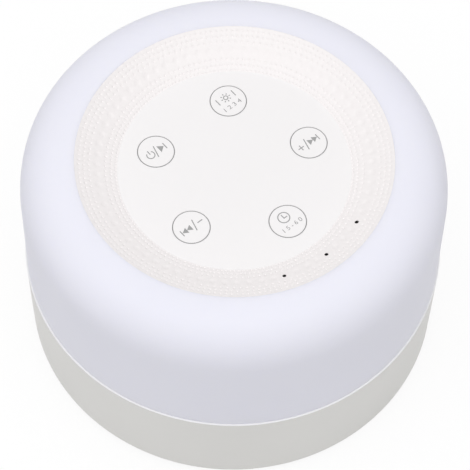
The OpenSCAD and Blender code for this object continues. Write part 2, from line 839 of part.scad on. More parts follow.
module core_tube() {
    color(core_white)
        difference() {
            union() {
                translate([0, 0, seam_z]) tube_ring(core_r, core_in_r, seat_low_z - seam_z);
                core_bosses(seam_z, core_boss_h);
                core_bosses(ear_z, ear_t);
            }
            around(4, core_boss_r, diagonal, seam_z - eps)
                pilot(big_screw, big_grip + pilot_spare);
            around(4, core_boss_r, diagonal, ear_z) passage(big_screw, ear_t);
            indicator_space();
        }
}

// Round bosses with webs that root them in the tube's wall
module core_bosses(z, h) {
    around(4, core_boss_r, diagonal, z) cylinder(d = core_boss_d, h = h);
    for (i = [0:3])
        rotate(diagonal + i * quarter)
            translate([core_boss_r, -core_boss_d / 4, z])
                cube([core_in_r - core_boss_r + core_wall / 2, core_boss_d / 2, h]);
}

module panel_screws() {
    color(bare_steel)
        around(4, core_boss_r, diagonal, ear_z) screw(big_screw, ear_t + big_grip);
}

module core_screws() {
    color(bare_steel)
        around(4, core_boss_r, diagonal, plate_z) screw(big_screw, plate_t + big_grip);
}

module shade_screws() {
    color(bare_steel)
        around(4, shade_boss_r, diagonal, plate_z) screw(big_screw, plate_t + big_grip);
}

module middle_plate() {
    color(core_white)
        difference() {
            union() {
                translate([0, 0, plate_z]) cylinder(r = plate_r, h = plate_t, $fn = 180);
                corners(plate_boss_z) cylinder(d = plate_boss_d, h = plate_boss_l + eps);
            }
            corners(plate_boss_z - eps) pilot(big_screw, plate_boss_l);
            around(4, core_boss_r, diagonal, plate_z) passage(big_screw, plate_t);
            around(4, shade_boss_r, diagonal, plate_z) passage(big_screw, plate_t);
            light_screw_places(plate_z - eps) pilot(small_screw, plate_t + past);
            translate([0, cable_slot_y, plate_z - past])
                rounded_block([cable_slot[0], cable_slot[1], plate_t + 2 * past], cable_slot_round);
            translate([0, light_hole_y, plate_z - past])
                cylinder(d = light_hole_d, h = plate_t + 2 * past);
        }
}

// Three screws, with the fourth quarter left to the leads
module light_screw_places(z) {
    for (i = [0:2])
        polar(light_r, -i * quarter, z) children();
}

module light_board() {
    color("white")
        difference() {
            translate([0, 0, seam_z])
                tube_ring(light_board_out_r, light_board_in_r, light_board_t);
            light_screw_places(seam_z) passage(small_screw, light_board_t);
            around(4, shade_boss_r, diagonal, seam_z - eps)
                cylinder(d = shade_boss_d + 2 * fit_gap, h = light_board_t + 2 * eps);
            translate([0, light_hole_y, seam_z - eps])
                cylinder(d = light_hole_d, h = light_board_t + 2 * eps);
        }
}

module light_chips() {
    color("lightyellow")
        for (i = [0:light_count - 1])
            polar(light_r, (i + 0.5) * 360 / light_count, light_chip_z)
                rotate((i + 0.5) * 360 / light_count) block(light_size);
}

module light_screws() {
    color(bare_steel)
        light_screw_places(light_chip_z)
            mirror([0, 0, 1]) screw(small_screw, light_board_t + plate_t);
}

module battery() {
    color("#7d8794")
        translate([0, 0, battery_z]) rounded_block(battery_size, battery_round);
}

module battery_pad() {
    color(foam_black)
        translate([0, 0, seam_z]) block(pad_size);
}

// ---- Main board ----

module main_posts(z) {
    for (side = [-1, 1], row = [0, 1])
        translate([side * main_post_at[0], main_y + main_post_at[1] + row * main_post_at[2], z])
            children();
}

module main_board() {
    color(board_green)
        difference() {
            translate([0, 0, main_z])
                linear_extrude(board_t) {
                    translate([-main_size[0] / 2, main_y]) square(main_size);
                    translate([-nose_size[0] / 2, main_y]) square([nose_size[0], nose_y - main_y]);
                }
            main_posts(main_z) passage(small_screw, board_t);
        }
}

module board_screws() {
    color(bare_steel)
        main_posts(main_top_z) mirror([0, 0, 1]) screw(small_screw, board_t + small_grip);
}

module board_chips() {
    color(chip_black)
        for (c = main_chips)
            translate([c[0], main_y + c[1], main_top_z]) block([c[2], c[3], c[4]]);
}

module board_capacitors() {
    color("#c4c6c8")
        for (c = main_cans)
            translate([c[0], main_y + c[1], main_top_z]) cylinder(d = can_size[0], h = can_size[1]);
}

module board_sockets() {
    color("#f0ead8") {
        translate([0, main_y + main_ribbon_in, main_top_z]) block(key_socket_size);
        for (s = main_sockets)
            translate([s[0], main_y + s[1], main_top_z]) block(plug_size);
    }
}

module socket_place() {
    translate([0, socket_front_y, socket_z]) rotate([quarter, 0, 0]) children();
}

module charging_socket() {
    bore_w = socket_size[0] - 2 * socket_wall;
    bore_h = socket_size[1] - 2 * socket_wall;
    color(bare_steel)
        socket_place()
            difference() {
                linear_extrude(socket_size[2]) slot_outline(socket_size[0], socket_size[1]);
                translate([0, 0, -eps])
                    linear_extrude(socket_size[2] - socket_back_wall + eps) slot_outline(bore_w, bore_h);
            }
}

module socket_tongue() {
    color(chip_black)
        socket_place()
            translate([0, -tongue_size[1] / 2, socket_size[2] - socket_back_wall - tongue_size[2]])
                block(tongue_size);
}

module charge_lamp() {
    color("white")
        translate([guide_x, guide_back_y - fit_gap - charge_lamp_size[1] / 2, main_top_z])
            block(charge_lamp_size);
}

module charge_light_guide() {
    color("whitesmoke")
        translate([guide_x, guide_back_y, guide_z])
            rotate([-quarter, 0, 0]) cylinder(d = guide_d, h = guide_front_y - guide_back_y);
}

// ---- Speaker ----

module speaker_frame() {
    flange_w = 1.6;
    shelf_w = 2;
    window = [8, 2 * speaker_r, 3];
    window_rise = 0.8;
    wall_top_r = speaker_r - flange_w;
    back_r = frame_back_d / 2;
    open_r = roll_r + roll_w / 2 + glue_gap;
    shelf_r = spider_r - shelf_w;
    outline = [[open_r, frame_z], [speaker_r, frame_z], [speaker_r, frame_top_z],
        [wall_top_r, frame_top_z], [back_r, frame_back_top_z], [back_r, frame_back_z],
        [plate_bore_r, frame_back_z], [plate_bore_r, frame_back_top_z],
        [shelf_r, frame_back_top_z], [shelf_r, spider_z + soft_t], [spider_r, spider_z + soft_t],
        [spider_r, frame_back_top_z - frame_t], [open_r, frame_top_z]];
    color(bare_steel)
        difference() {
            rotate_extrude() polygon(outline);
            for (a = [0, quarter])
                rotate(a) translate([0, 0, frame_top_z + window_rise]) block(window);
        }
}

module speaker_top_plate() {
    color(bare_steel)
        translate([0, 0, frame_back_z])
            tube_ring(top_plate_size[0] / 2, plate_bore_r, top_plate_size[1]);
}

module speaker_magnet() {
    color("#3a3a3e")
        translate([0, 0, magnet_z])
            tube_ring(magnet_size[0] / 2, magnet_size[1] / 2, magnet_size[2]);
}

module speaker_yoke() {
    color(bare_steel) {
        translate([0, 0, yoke_z]) cylinder(d = yoke_size[0], h = yoke_size[1]);
        translate([0, 0, frame_back_z]) cylinder(d = pole_d, h = yoke_z - frame_back_z + eps);
    }
}

module speaker_cone() {
    neck_r = former_r + glue_gap;
    lip = 1.2;
    outline = [[cone_r, frame_z], [cone_r, frame_z + cone_t], [cone_r - lip, frame_z + cone_t],
        [neck_r, neck_z + cone_t], [neck_r, neck_z], [cone_r - lip - cone_t, frame_z]];
    color("#3b3a38")
        rotate_extrude() polygon(outline);
}

// Shallow bowl over the cone's neck: radius r, depth h and wall t
module dust_cap() {
    r = dust_cap_size[0] / 2;
    h = dust_cap_size[1];
    t = soft_t;
    ball_r = (r * r + h * h) / (2 * h);
    rim_z = neck_z - (r - former_r) * (cone_depth - cone_t) / (cone_r - former_r)
        - fit_gap - t;
    half = asin(r / ball_r);
    middle_z = rim_z - h + ball_r;
    color("#2d2c2b")
        rotate_extrude()
            polygon(concat(arc(0, middle_z, ball_r, -quarter, -quarter + half, 12),
                arc(0, middle_z, ball_r - t, -quarter + half, -quarter, 12)));
}

module voice_coil() {
    dip = 0.5;
    stroke_room = 3 * cone_travel;
    low_z = neck_z - dip;
    top_z = yoke_z - stroke_room;
    winding_z = frame_back_z - (winding_h - top_plate_size[1]) / 2;
    color(copper) {
        translate([0, 0, low_z]) tube_ring(former_r, former_r - former_t, top_z - low_z);
        translate([0, 0, winding_z])
            tube_ring(former_r + winding_t, former_r - former_t, winding_h);
    }
}

module speaker_surround() {
    edge_w = 1.4;
    lap = 1;
    outer_r = speaker_r - edge_w;
    inner_r = cone_r - lap;
    roll_out = roll_w / 2;
    outline = concat(
        [[inner_r, frame_z], [inner_r, speaker_z]],
        arc(roll_r, speaker_z, roll_out, 2 * quarter, 4 * quarter, 12),
        [[outer_r, speaker_z], [outer_r, frame_z]],
        arc(roll_r, frame_z, roll_out - soft_t, 4 * quarter, 2 * quarter, 12));
    color("#1f1f20")
        rotate_extrude() polygon(outline);
}

module speaker_spider() {
    inner_r = former_r + glue_gap;
    waves = 4;
    wave_h = 0.3;
    flat = 1.2;
    span = spider_r - inner_r - 2 * flat;
    steps = 8 * waves;
    ripple = [for (i = [0:steps])
        [inner_r + flat + span * i / steps, wave_h * (cos(360 * waves * i / steps) - 1) / 2]];
    outline = concat([[inner_r, 0]], ripple, [[spider_r, 0], [spider_r, soft_t]],
        [for (p = reversed(ripple)) [p[0], p[1] + soft_t]], [[inner_r, soft_t]]);
    color("#b08a4f")
        translate([0, 0, spider_z]) rotate_extrude() polygon(outline);
}

module speaker_gasket() {
    color(foam_black)
        translate([0, 0, seat_ring_z])
            tube_ring(speaker_r - fit_gap, speaker_r - speaker_seat_w, gasket_t);
}

module grille_cloth() {
    color(chip_black)
        translate([0, 0, cover_top_z])
            cylinder(r = speaker_r - speaker_seat_w - fit_gap, h = cloth_t);
}

module speaker_terminals() {
    color("#8a6a3a")
        translate([0, -terminal_y, frame_top_z]) block(terminal_size);
}

module speaker_screws() {
    color(bare_steel)
        around(4, speaker_screw_r, diagonal, frame_top_z) {
            translate([0, 0, washer_size[1]])
                mirror([0, 0, 1]) screw(small_screw, washer_size[1] + small_grip);
            tube_ring(washer_size[0] / 2, small_screw[2] / 2 - glue_gap, washer_size[1]);
        }
}

// ---- Leads ----

module key_cable() {
    top_z = key_board_z - key_socket_size[2] - lead_gap;
    low_z = main_top_z + key_socket_size[2] + lead_gap;
    path = spline([[ribbon_top_y, top_z], [ribbon_top_y, top_z - 1.5], [20.4, 43], [24.2, 36.6],
        [cable_slot_y, seam_z + 3], [cable_slot_y, plate_z - 2], [28, 21],
        [main_y + main_ribbon_in, low_z + 1.5], [main_y + main_ribbon_in, low_z]]);
    side = [for (i = [0:len(path) - 1])
        let (d = heading(path, i)) [-d[1], d[0]] * ribbon_size[1] / 2];
    left = [for (i = [0:len(path) - 1]) path[i] + side[i]];
    right = [for (i = [0:len(path) - 1]) path[i] - side[i]];
    color("#d8c9a0")
        translate([-ribbon_size[0] / 2, 0, 0])
            rotate([quarter, 0, quarter])
                linear_extrude(ribbon_size[0]) polygon(concat(left, reversed(right)));
}

module battery_leads() {
    s = main_sockets[1];
    end_x = -battery_size[0] / 2 - 2 * lead_gap;
    color(lead_red)
        lead_pair([[end_x, -1, 35], [end_x - 1, -1, 35], [end_x - 2.2, 2, 35],
            [end_x - 2.4, 10, 35], [-26.4, 17.2, 34.8], [-21.5, 19.2, 34.4], [-12, 19.8, 33.4],
            [-8.2, 23, 31.4], [-7.4, 26, 27.6], [-8.2, 27, 23.6], [-10.2, 29, 21.6],
            [s[0], main_y + s[1], plug_top_z + 1.8], [s[0], main_y + s[1], plug_top_z + lead_gap]],
            [0.1, 0.5, 1]);
}

module light_leads() {
    s = main_sockets[2];
    rest_z = light_chip_z + lead_d / 2 + lead_gap;
    color(lead_black)
        lead_pair([[0, light_board_out_r - 1.6, rest_z], [0, light_board_out_r - 0.2, rest_z + 0.4],
            [0, light_hole_y, seam_z + 0.6], [0, light_hole_y, plate_z - 1.4],
            [3, 47, 23], [10, 45.4, 21.4], [s[0] - 0.8, main_y + s[1] + 0.4, plug_top_z + 2.2],
            [s[0], main_y + s[1], plug_top_z + lead_gap]], [0.2, 1, 0.1]);
}

module speaker_leads() {
    s = main_sockets[0];
    floor_z = cover_top_z + lead_d / 2 + lead_spacing / 2 - 0.1;
    run_r = 34.4;
    color(lead_black)
        lead_pair(concat(
            [[0.6, -terminal_y - 1.5, 10.4], [2.2, -29, 8.6], [5.6, -32.4, 5.4]],
            [for (a = [-72:12:36]) [run_r * cos(a), run_r * sin(a), floor_z]],
            [[21, 26.8, 6], [16, main_y - 1.9, 10.4], [13, main_y - 1.8, 17.4],
             [11.8, main_y + 0.2, 20.6], [s[0], main_y + s[1], plug_top_z + 1.8],
             [s[0], main_y + s[1], plug_top_z + lead_gap]]), [0.45, 0.3, 1]);
}

diffuser_shade();
top_panel();
power_key();
lamp_key();
next_key();
timer_key();
previous_key();
power_plunger();
lamp_plunger();
next_plunger();
timer_plunger();
previous_plunger();
key_switches();
key_board();
key_board_screws();
key_board_socket();
indicator_lamps();
indicator_shroud();
core_tube();
panel_screws();
core_screws();
middle_plate();
shade_screws();
light_board();
light_chips();
light_screws();
light_leads();
battery();
battery_pad();
battery_leads();
key_cable();
base_shell();
bottom_cover();
cover_screws();
foot_pads();
main_board();
board_screws();
board_chips();
board_capacitors();
board_sockets();
charging_socket();
socket_tongue();
charge_lamp();
charge_light_guide();
speaker_frame();
speaker_top_plate();
speaker_magnet();
speaker_yoke();
speaker_cone();
dust_cap();
voice_coil();
speaker_surround();
speaker_spider();
speaker_gasket();
grille_cloth();
speaker_terminals();
speaker_screws();
speaker_leads();
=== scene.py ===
import math

import bmesh
import bpy
from bpy.props import FloatProperty, FloatVectorProperty, IntProperty, PointerProperty
from mathutils import Matrix, Quaternion, Vector, geometry


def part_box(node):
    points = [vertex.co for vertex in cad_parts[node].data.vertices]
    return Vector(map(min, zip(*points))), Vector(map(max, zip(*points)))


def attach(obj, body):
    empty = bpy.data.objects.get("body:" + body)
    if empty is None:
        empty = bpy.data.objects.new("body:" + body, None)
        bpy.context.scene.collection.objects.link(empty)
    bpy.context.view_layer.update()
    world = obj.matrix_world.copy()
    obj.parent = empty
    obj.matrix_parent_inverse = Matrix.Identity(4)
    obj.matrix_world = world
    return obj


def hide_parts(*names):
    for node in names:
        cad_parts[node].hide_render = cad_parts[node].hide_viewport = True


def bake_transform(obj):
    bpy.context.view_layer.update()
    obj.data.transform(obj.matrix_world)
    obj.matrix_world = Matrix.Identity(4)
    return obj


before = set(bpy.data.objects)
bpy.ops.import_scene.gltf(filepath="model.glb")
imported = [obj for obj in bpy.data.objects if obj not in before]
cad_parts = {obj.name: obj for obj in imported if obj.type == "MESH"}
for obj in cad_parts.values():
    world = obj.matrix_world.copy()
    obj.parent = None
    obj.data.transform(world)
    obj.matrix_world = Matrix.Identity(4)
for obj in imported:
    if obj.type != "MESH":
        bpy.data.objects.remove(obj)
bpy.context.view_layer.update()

bl_info = {
    "name": "Sound Machine Finish",
    "version": (1, 0, 0),
    "blender": (4, 5, 0),
    "location": "View3D > Sidebar > Sound Machine",
    "description": "Fine shells, keys, prints and finishes for a bedside white noise machine",
    "category": "Object",
}

MM = 0.001
FULL_TURN = 360
WELD = 0.001 * MM  # points closer than this become one
SHELL_TURNS = 288  # points around every shell, eight to each tile of the dimpled ring
KEYS = ("timer", "next", "lamp", "power", "previous")
KEY_STEP = FULL_TURN / len(KEYS)
TIMER_ANGLE = -90
CORNERS = 4  # bosses, ears and feet come in fours
CORNER_ANGLE = 45

shade_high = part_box("diffuser_shade")[1]
panel_low, panel_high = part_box("top_panel")
base_low, base_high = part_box("base_shell")
cover_low, cover_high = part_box("bottom_cover")
cap_low, cap_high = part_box("timer_key")
foot_low, foot_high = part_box("foot_pads")
screw_low, screw_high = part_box("cover_screws")


# ---- Settings ----

def linear(red, green, blue):
    """Scene-linear colour of an 8-bit screen colour."""
    return tuple(
        c / 12.92 if c <= 0.04045 else ((c + 0.055) / 1.055) ** 2.4
        for c in (red / 255, green / 255, blue / 255)
    )


def length(name, description, default):
    """Length setting, with its default in millimetres."""
    return FloatProperty(
        name=name, description=description, default=default * MM, unit="LENGTH", precision=5,
    )


def tone(name, description, *screen_colour):
    """Colour setting, with its default as an 8-bit screen colour."""
    return FloatVectorProperty(
        name=name, description=description, subtype="COLOR", size=3, min=0, max=1,
        default=linear(*screen_colour),
    )


def share(name, description, default):
    """Setting between 0 and 1."""
    return FloatProperty(name=name, description=description, default=default, min=0, max=1)


def angle(name, description, default):
    """Angle setting, with its default in degrees."""
    return FloatProperty(
        name=name, description=description, default=math.radians(default), subtype="ANGLE", unit="ROTATION",
    )


class ShadeSettings(bpy.types.PropertyGroup):
    """The light shade."""
    radius: length("Radius", "Radius at the seam", shade_high.x / MM)
    draft: length("Draft", "Radius lost from the seam to the shoulder", 0.2)
    wall: length("Wall", "Thickness of the wall", 2.2)
    crown_radius: length("Crown radius", "Radius at which the crown starts to fall away", 40.1)
    shoulder: length("Shoulder", "Height of the shoulder below the crown", 13.2)
    fullness: FloatProperty(name="Fullness", description="Power of the shoulder's curve", default=2.3)
    rim_gap: length("Rim gap", "Gap around the panel's edge", 0.005)
    seat: length("Seat", "Width of the seat under the panel's edge", 2.6)
    seat_thickness: length("Seat thickness", "Thickness of that seat", 1.8)
    neck: length("Neck", "Wall between the seat and the crown", 1.6)
    skirt_radius: length("Skirt", "Inner radius of the skirt that laps over the base's lip", 52.6)
    skirt_low: length("Skirt end", "Height of the skirt's lower end", 29.02)
    skirt_gap: length("Skirt gap", "Gap over the base's lip", 0.2)
    edge: length("Edge", "Rounding of the edges that show", 0.03)
    boss_circle: length("Boss circle", "Radius that the screw bosses stand on", 48.5)
    boss_radius: length("Boss radius", "Radius of a screw boss", 2.8)
    boss_height: length("Boss height", "Height of a screw boss", 10)
    pilot_radius: length("Pilot", "Radius of a boss's pilot hole", 1.25)
    pilot_depth: length("Pilot depth", "Depth of a boss's pilot hole", 7)
    colour: tone("Colour", "Milk-white of the shade", 241, 241, 253)
    shadow_colour: tone("Second colour", "Slightly greyer tone of its mottling", 238, 238, 250)
    glow: share("Glow", "How much light scatters inside the wall", 0.25)


class PanelSettings(bpy.types.PropertyGroup):
    """The dished panel."""
    rim_radius: length("Rim radius", "Radius of the panel", panel_high.x / MM)
    disc_radius: length("Disc radius", "Radius of the flat disc", 29.05)
    depth: length("Depth", "Depth of the disc below the rim", 5.3)
    sag: share("Sag", "Sag of the sloped ring, as a share of its depth", 0.08)
    wall: length("Wall", "Thickness of the panel", 2)
    edge_height: length("Edge height", "Height of the upright edge", 2.8)
    edge: length("Edge", "Rounding of the rim", 0.03)
    crease: length("Crease", "Half width of the rounded crease around the disc", 0.25)
    step_radius: length("Step", "Radius at which the underside meets the seat", 36.85)
    dimple_depth: length("Dimple depth", "Depth of a small dimple", 0.23)
    large_dimple_depth: length("Large dimple depth", "Depth of a large dimple", 0.17)
    ring_turn: angle("Ring turn", "Turn of the pattern of dimples", 0.5)
    pinhole_circle: length("Pinhole circle", "Radius that the pinholes stand on", 34.1)
    pinhole_radius: length("Pinhole radius", "Radius of an indicator pinhole", 0.5)
    pinhole_step: angle("Pinhole step", "Angle between the pinholes", 20)
    board_boss_circle: length("Board boss circle", "Radius that the board's bosses stand on", 24.6)
    board_boss_radius: length("Board boss radius", "Radius of a board's boss", 2.2)
    ear_boss_circle: length("Ear boss circle", "Radius that the long bosses stand on", 34.25)
    ear_boss_radius: length("Ear boss radius", "Radius of a long boss", 2.6)
    colour: tone("Colour", "Warm white of the panel and the keys", 246, 244, 245)
    shadow_colour: tone("Second colour", "Slightly greyer tone of its mottling", 243, 241, 241)
    ring_colour: tone("Ring colour", "Warmer white of the sloped ring", 246, 242, 242)


class KeySettings(bpy.types.PropertyGroup):
    """The five keys and their print."""
    circle_radius: length("Circle", "Radius that the keys stand on", -(cap_low.y + cap_high.y) / 2 / MM)
    cap_radius: length("Cap radius", "Radius of a cap", 4.63)
    cap_height: length("Cap height", "Height of a cap over its flange", 2.1)
    gap: length("Gap", "Gap around a cap", 0.06)
    edge: length("Edge", "Rounding of a cap's edge", 0.1)
    flange: length("Flange", "Thickness of the flange", 0.9)
    stem_radius: length("Stem radius", "Radius of the stem", 1.6)
    print_height: length("Print height", "Height of the ink over the cap", 0.012)
    ring_width: length("Ring width", "Width of the printed ring inside the cap's edge", 0.08)
    line: length("Line", "Width of a printed line", 0.27)
    digit_height: length("Digits", "Height of the printed numbers", 1.2)
    colour: tone("Ink", "Grey of the print", 152, 152, 152)


class BaseSettings(bpy.types.PropertyGroup):
    """The lower housing, its cover and what shows on them."""
    radius: length("Radius", "Radius at the seam", base_high.x / MM)
    draft: length("Draft", "Radius lost from the seam to the foot", 0.3)
    rounding: length("Rounding", "Rounding of the lower edge", 0.9)
    wall: length("Wall", "Thickness of the wall at its foot", 2)
    seam_height: length("Seam", "Height of the edge at the seam", 28.8)
    gasket_width: length("Gasket", "Width of the white gasket in the seam", 0.47)
    gasket_rise: length("Gasket rise", "Rise of the gasket's sloped face", 0.18)
    lip: length("Lip", "Thickness of the upright lip", 0.9)
    ledge: length("Ledge", "Width of the ledge over the cover", 2.2)
    ledge_thickness: length("Ledge thickness", "Thickness of that ledge", 1.8)
    cover_gap: length("Cover gap", "Gap around the cover", 0.2)
    rib_height: length("Rib height", "Height of a rib under the plate", 6)
    rib_reach: length("Rib reach", "Reach of a rib from the wall", 1.7)
    rib_top: length("Rib top", "Height at which the plate rests on the ribs", 27)
    socket_width: length("Socket width", "Width of the opening around the charging socket", 9.94)
    socket_height: length("Socket height", "Height of that opening", 4.26)
    guide_across: length("Guide place", "Distance of the light guide from the socket", 10.5)
    guide_gap: length("Guide gap", "Gap around the light guide", 0.08)
    grille_pitch: length("Grille pitch", "Distance between grille holes", 4.2)
    grille_hole: length("Grille hole", "Radius of a grille hole", 1.1)
    grille_rings: IntProperty(name="Grille rings", description="Rings of grille holes", default=4)
    chamfer: length("Chamfer", "Chamfer around the holes of the cover", 0.2)
    foot_circle: length("Foot circle", "Radius that the feet stand on", 38)
    foot_radius: length("Foot radius", "Radius of a foot", 4.5)
    colour: tone("Colour", "Warm grey-white of the base", 234, 233, 230)
    shadow_colour: tone("Second colour", "Slightly greyer tone of its mottling", 230, 229, 226)


class SpeakerSettings(bpy.types.PropertyGroup):
    """The soft rings that carry the speaker's cone."""
    sectors: IntProperty(name="Sectors", description="Sectors of a soft ring", default=12, min=8)
    spider_inside: length("Spider inside", "Radius within which the spider moves with the cone", 8.7)
    spider_outside: length("Spider outside", "Radius beyond which the spider stays with the frame", 15.1)
    roll_inside: length("Roll inside", "Radius within which the surround moves with the cone", 18.5)
    roll_outside: length("Roll outside", "Radius beyond which the surround stays with the frame", 21.7)


class StageSettings(bpy.types.PropertyGroup):
    """Camera, lamps and floor."""
    azimuth: angle("Azimuth", "Angle of the view around the object", -41.62)
    elevation: angle("Elevation", "Angle of the view over the floor", 59.45)
    roll: angle("Roll", "Turn of the picture", 1.34)
    distance: length("Distance", "From the camera to the point that it looks at", 580.1)
    aim_x: length("Aim X", "Point that the camera looks at", 0.39)
    aim_y: length("Aim Y", "Point that the camera looks at", -0.35)
    aim_z: length("Aim Z", "Point that the camera looks at", 30.64)
    lens: FloatProperty(name="Lens", description="Focal length in millimetres", default=170.92)
    softbox_size: length("Softbox", "Side of the softbox", 2800)
    softbox_distance: length("Softbox distance", "Distance of the softbox", 2060)
    softbox_azimuth: angle("Softbox azimuth", "Angle that the softbox stands at around the object", -64)
    softbox_lean: angle("Softbox lean", "Angle of the softbox away from straight above", 11)
    softbox_power: FloatProperty(name="Softbox power", description="In watts", default=31.6, unit="POWER")
    sky: FloatProperty(name="Sky", description="Strength of the light from all around", default=0.5)
    floor_size: length("Floor", "Side of the floor", 6000)
    floor_lift: share("Floor lift", "Share of plain white in what the camera sees of the floor", 0.83)
    colour: tone("Floor colour", "White of the floor", 230, 230, 230)


class SoundMachineSettings(bpy.types.PropertyGroup):
    """Everything that a user would change."""
    shade: PointerProperty(type=ShadeSettings)
    panel: PointerProperty(type=PanelSettings)
    keys: PointerProperty(type=KeySettings)
    base: PointerProperty(type=BaseSettings)
    speaker: PointerProperty(type=SpeakerSettings)
    stage: PointerProperty(type=StageSettings)


def settings():
    return bpy.context.scene.sound_machine


# ---- Outlines ----

def arc(centre, radius, start, end, steps=6):
    """Points (radius, height) of an arc, with its angles in degrees."""
    turns = [math.radians(start + (end - start) * i / steps) for i in range(steps + 1)]
    return [(centre[0] + radius * math.cos(t), centre[1] + radius * math.sin(t)) for t in turns]


def shoulder_curve(centre, across, up, fullness, start, end, steps):
    """Part of a superellipse's quarter, from the side at 0 to the top at 90 degrees."""
    points = []
    for i in range(steps + 1):
        t = math.radians(start + (end - start) * i / steps)
        points.append((
            centre[0] + across * max(0, math.cos(t)) ** (2 / fullness),
            centre[1] + up * max(0, math.sin(t)) ** (2 / fullness),
        ))
    return points


def line_points(start, end, steps):
    """Points from start up to, but not including, end."""
    return [
        (start[0] + (end[0] - start[0]) * i / steps, start[1] + (end[1] - start[1]) * i / steps)
        for i in range(steps)
    ]


# ---- Meshes ----

def lathe(bm, outline, turns=SHELL_TURNS, first=0.0, closed=False, centre=(0, 0)):
    """Turns the outline (radius, height) about a vertical axis. A point on the axis becomes a pole."""
    rings = []
    for radius, height in outline:
        count = 1 if radius < WELD else turns
        ring = []
        for i in range(count):
            a = math.radians(first + FULL_TURN * i / turns)
            ring.append(bm.verts.new((
                centre[0] + radius * math.cos(a), centre[1] + radius * math.sin(a), height,
            )))
        rings.append(ring)
    pairs = list(zip(rings, rings[1:]))
    if closed:
        pairs.append((rings[-1], rings[0]))
    for low, high in pairs:
        for i in range(turns):
            j = (i + 1) % turns
            corners = [low[i % len(low)], low[j % len(low)], high[j % len(high)], high[i % len(high)]]
            corners = list(dict.fromkeys(corners))
            if len(corners) > 2:
                bm.faces.new(corners)


def loft(bm, loops):
    """Closed body through loops of as many (x, y, z) points each."""
    loops = [[bm.verts.new(point) for point in loop] for loop in loops]
    bm.faces.new(loops[0][::-1])
    bm.faces.new(loops[-1])
    for near, far in zip(loops, loops[1:]):
        for i in range(len(near)):
            j = (i + 1) % len(near)
            bm.faces.new([near[i], near[j], far[j], far[i]])


def prism(bm, points, low, high):
    """Upright prism on a closed outline of (x, y) points."""
    loft(bm, [[(x, y, z) for x, y in points] for z in (low, high)])


def box_corners(left, right, front, back):
    """Corners (x, y) of a rectangle."""
    return [(left, front), (right, front), (right, back), (left, back)]


def cross(reach, half):
    """Outline (x, y) of an upright cross with arms 2 half wide."""
    quarter = [(-half, -reach), (half, -reach), (half, -half)]
    outline = []
    for _ in range(4):
        outline += quarter
        quarter = [(-y, x) for x, y in quarter]
    return outline


def round_bar(bm, radius, low, high, centre=(0, 0), turns=48):
    """Upright cylinder."""
    lathe(bm, [(0, low), (radius, low), (radius, high), (0, high)], turns, centre=centre)


def on_circle(radius, degrees):
    """Point (x, y) on a circle about the axis."""
    return radius * math.cos(math.radians(degrees)), radius * math.sin(math.radians(degrees))


def key_place(index):
    """Centre of a key in KEYS order."""
    return on_circle(settings().keys.circle_radius, TIMER_ANGLE + index * KEY_STEP)


def as_object(name, bm):
    """Object from a closed bmesh, welded and with its faces turned outwards."""
    bmesh.ops.remove_doubles(bm, verts=bm.verts, dist=WELD)
    bmesh.ops.recalc_face_normals(bm, faces=bm.faces)
    mesh = bpy.data.meshes.new(name)
    bm.to_mesh(mesh)
    bm.free()
    return place(name, mesh)


def place(name, data):
    """New object in the scene for a mesh, curve, lamp or camera."""
    made = bpy.data.objects.new(name, data)
    bpy.context.scene.collection.objects.link(made)
    return made


def build(name, shape):
    """Object from a function that fills a bmesh."""
    bm = bmesh.new()
    shape(bm)
    return as_object(name, bm)


def bake(made):
    """Turns the object's modifiers into plain mesh."""
    evaluated = made.evaluated_get(bpy.context.evaluated_depsgraph_get())
    mesh = bpy.data.meshes.new_from_object(evaluated)
    made.modifiers.clear()
    old, made.data = made.data, mesh
    mesh.name = made.name
    bpy.data.meshes.remove(old)
    return made


def discard(made):
    mesh = made.data
    bpy.data.objects.remove(made)
    bpy.data.meshes.remove(mesh)


def gather(name, parts):
    """One object from several, which are used up."""
    bm = bmesh.new()
    for part in parts:
        bm.from_mesh(part.data)
        discard(part)
    return as_object(name, bm)


def join(made, other, operation):
    """Union, difference or intersection with another closed object, which is used up."""
    modifier = made.modifiers.new("join", "BOOLEAN")
    modifier.operation = operation
    modifier.solver = "MANIFOLD"
    modifier.object = other
    bake(made)
    discard(other)
    bm = bmesh.new()
    bm.from_mesh(made.data)
    bmesh.ops.remove_doubles(bm, verts=bm.verts, dist=WELD)
    bmesh.ops.dissolve_degenerate(bm, edges=bm.edges, dist=WELD)
    bm.to_mesh(made.data)
    bm.free()
    if not made.data.polygons:
        raise RuntimeError(f"{made.name} has nothing left after {operation}")
    return made


def smooth(made, sharp_angle=32):
    """Smooth shading that keeps edges sharper than sharp_angle and flat faces flat."""
    made.data.shade_smooth()
    made.data.set_sharp_from_angle(angle=math.radians(sharp_angle))
    modifier = made.modifiers.new("normals", "WEIGHTED_NORMAL")
    modifier.keep_sharp = True
    modifier.weight = 80
    return bake(made)


def hand_over(made, body, slot, *nodes, material=None):
    """Gives a finished piece its material, by default that of its slot, puts it on its body and hides the
    nodes that it stands for.
    """
    made.data.materials.clear()
    made.data.materials.append(material or finishes[slot])
    if body:
        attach(made, body)
    if nodes:
        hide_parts(*nodes)


# ---- Node graphs ----

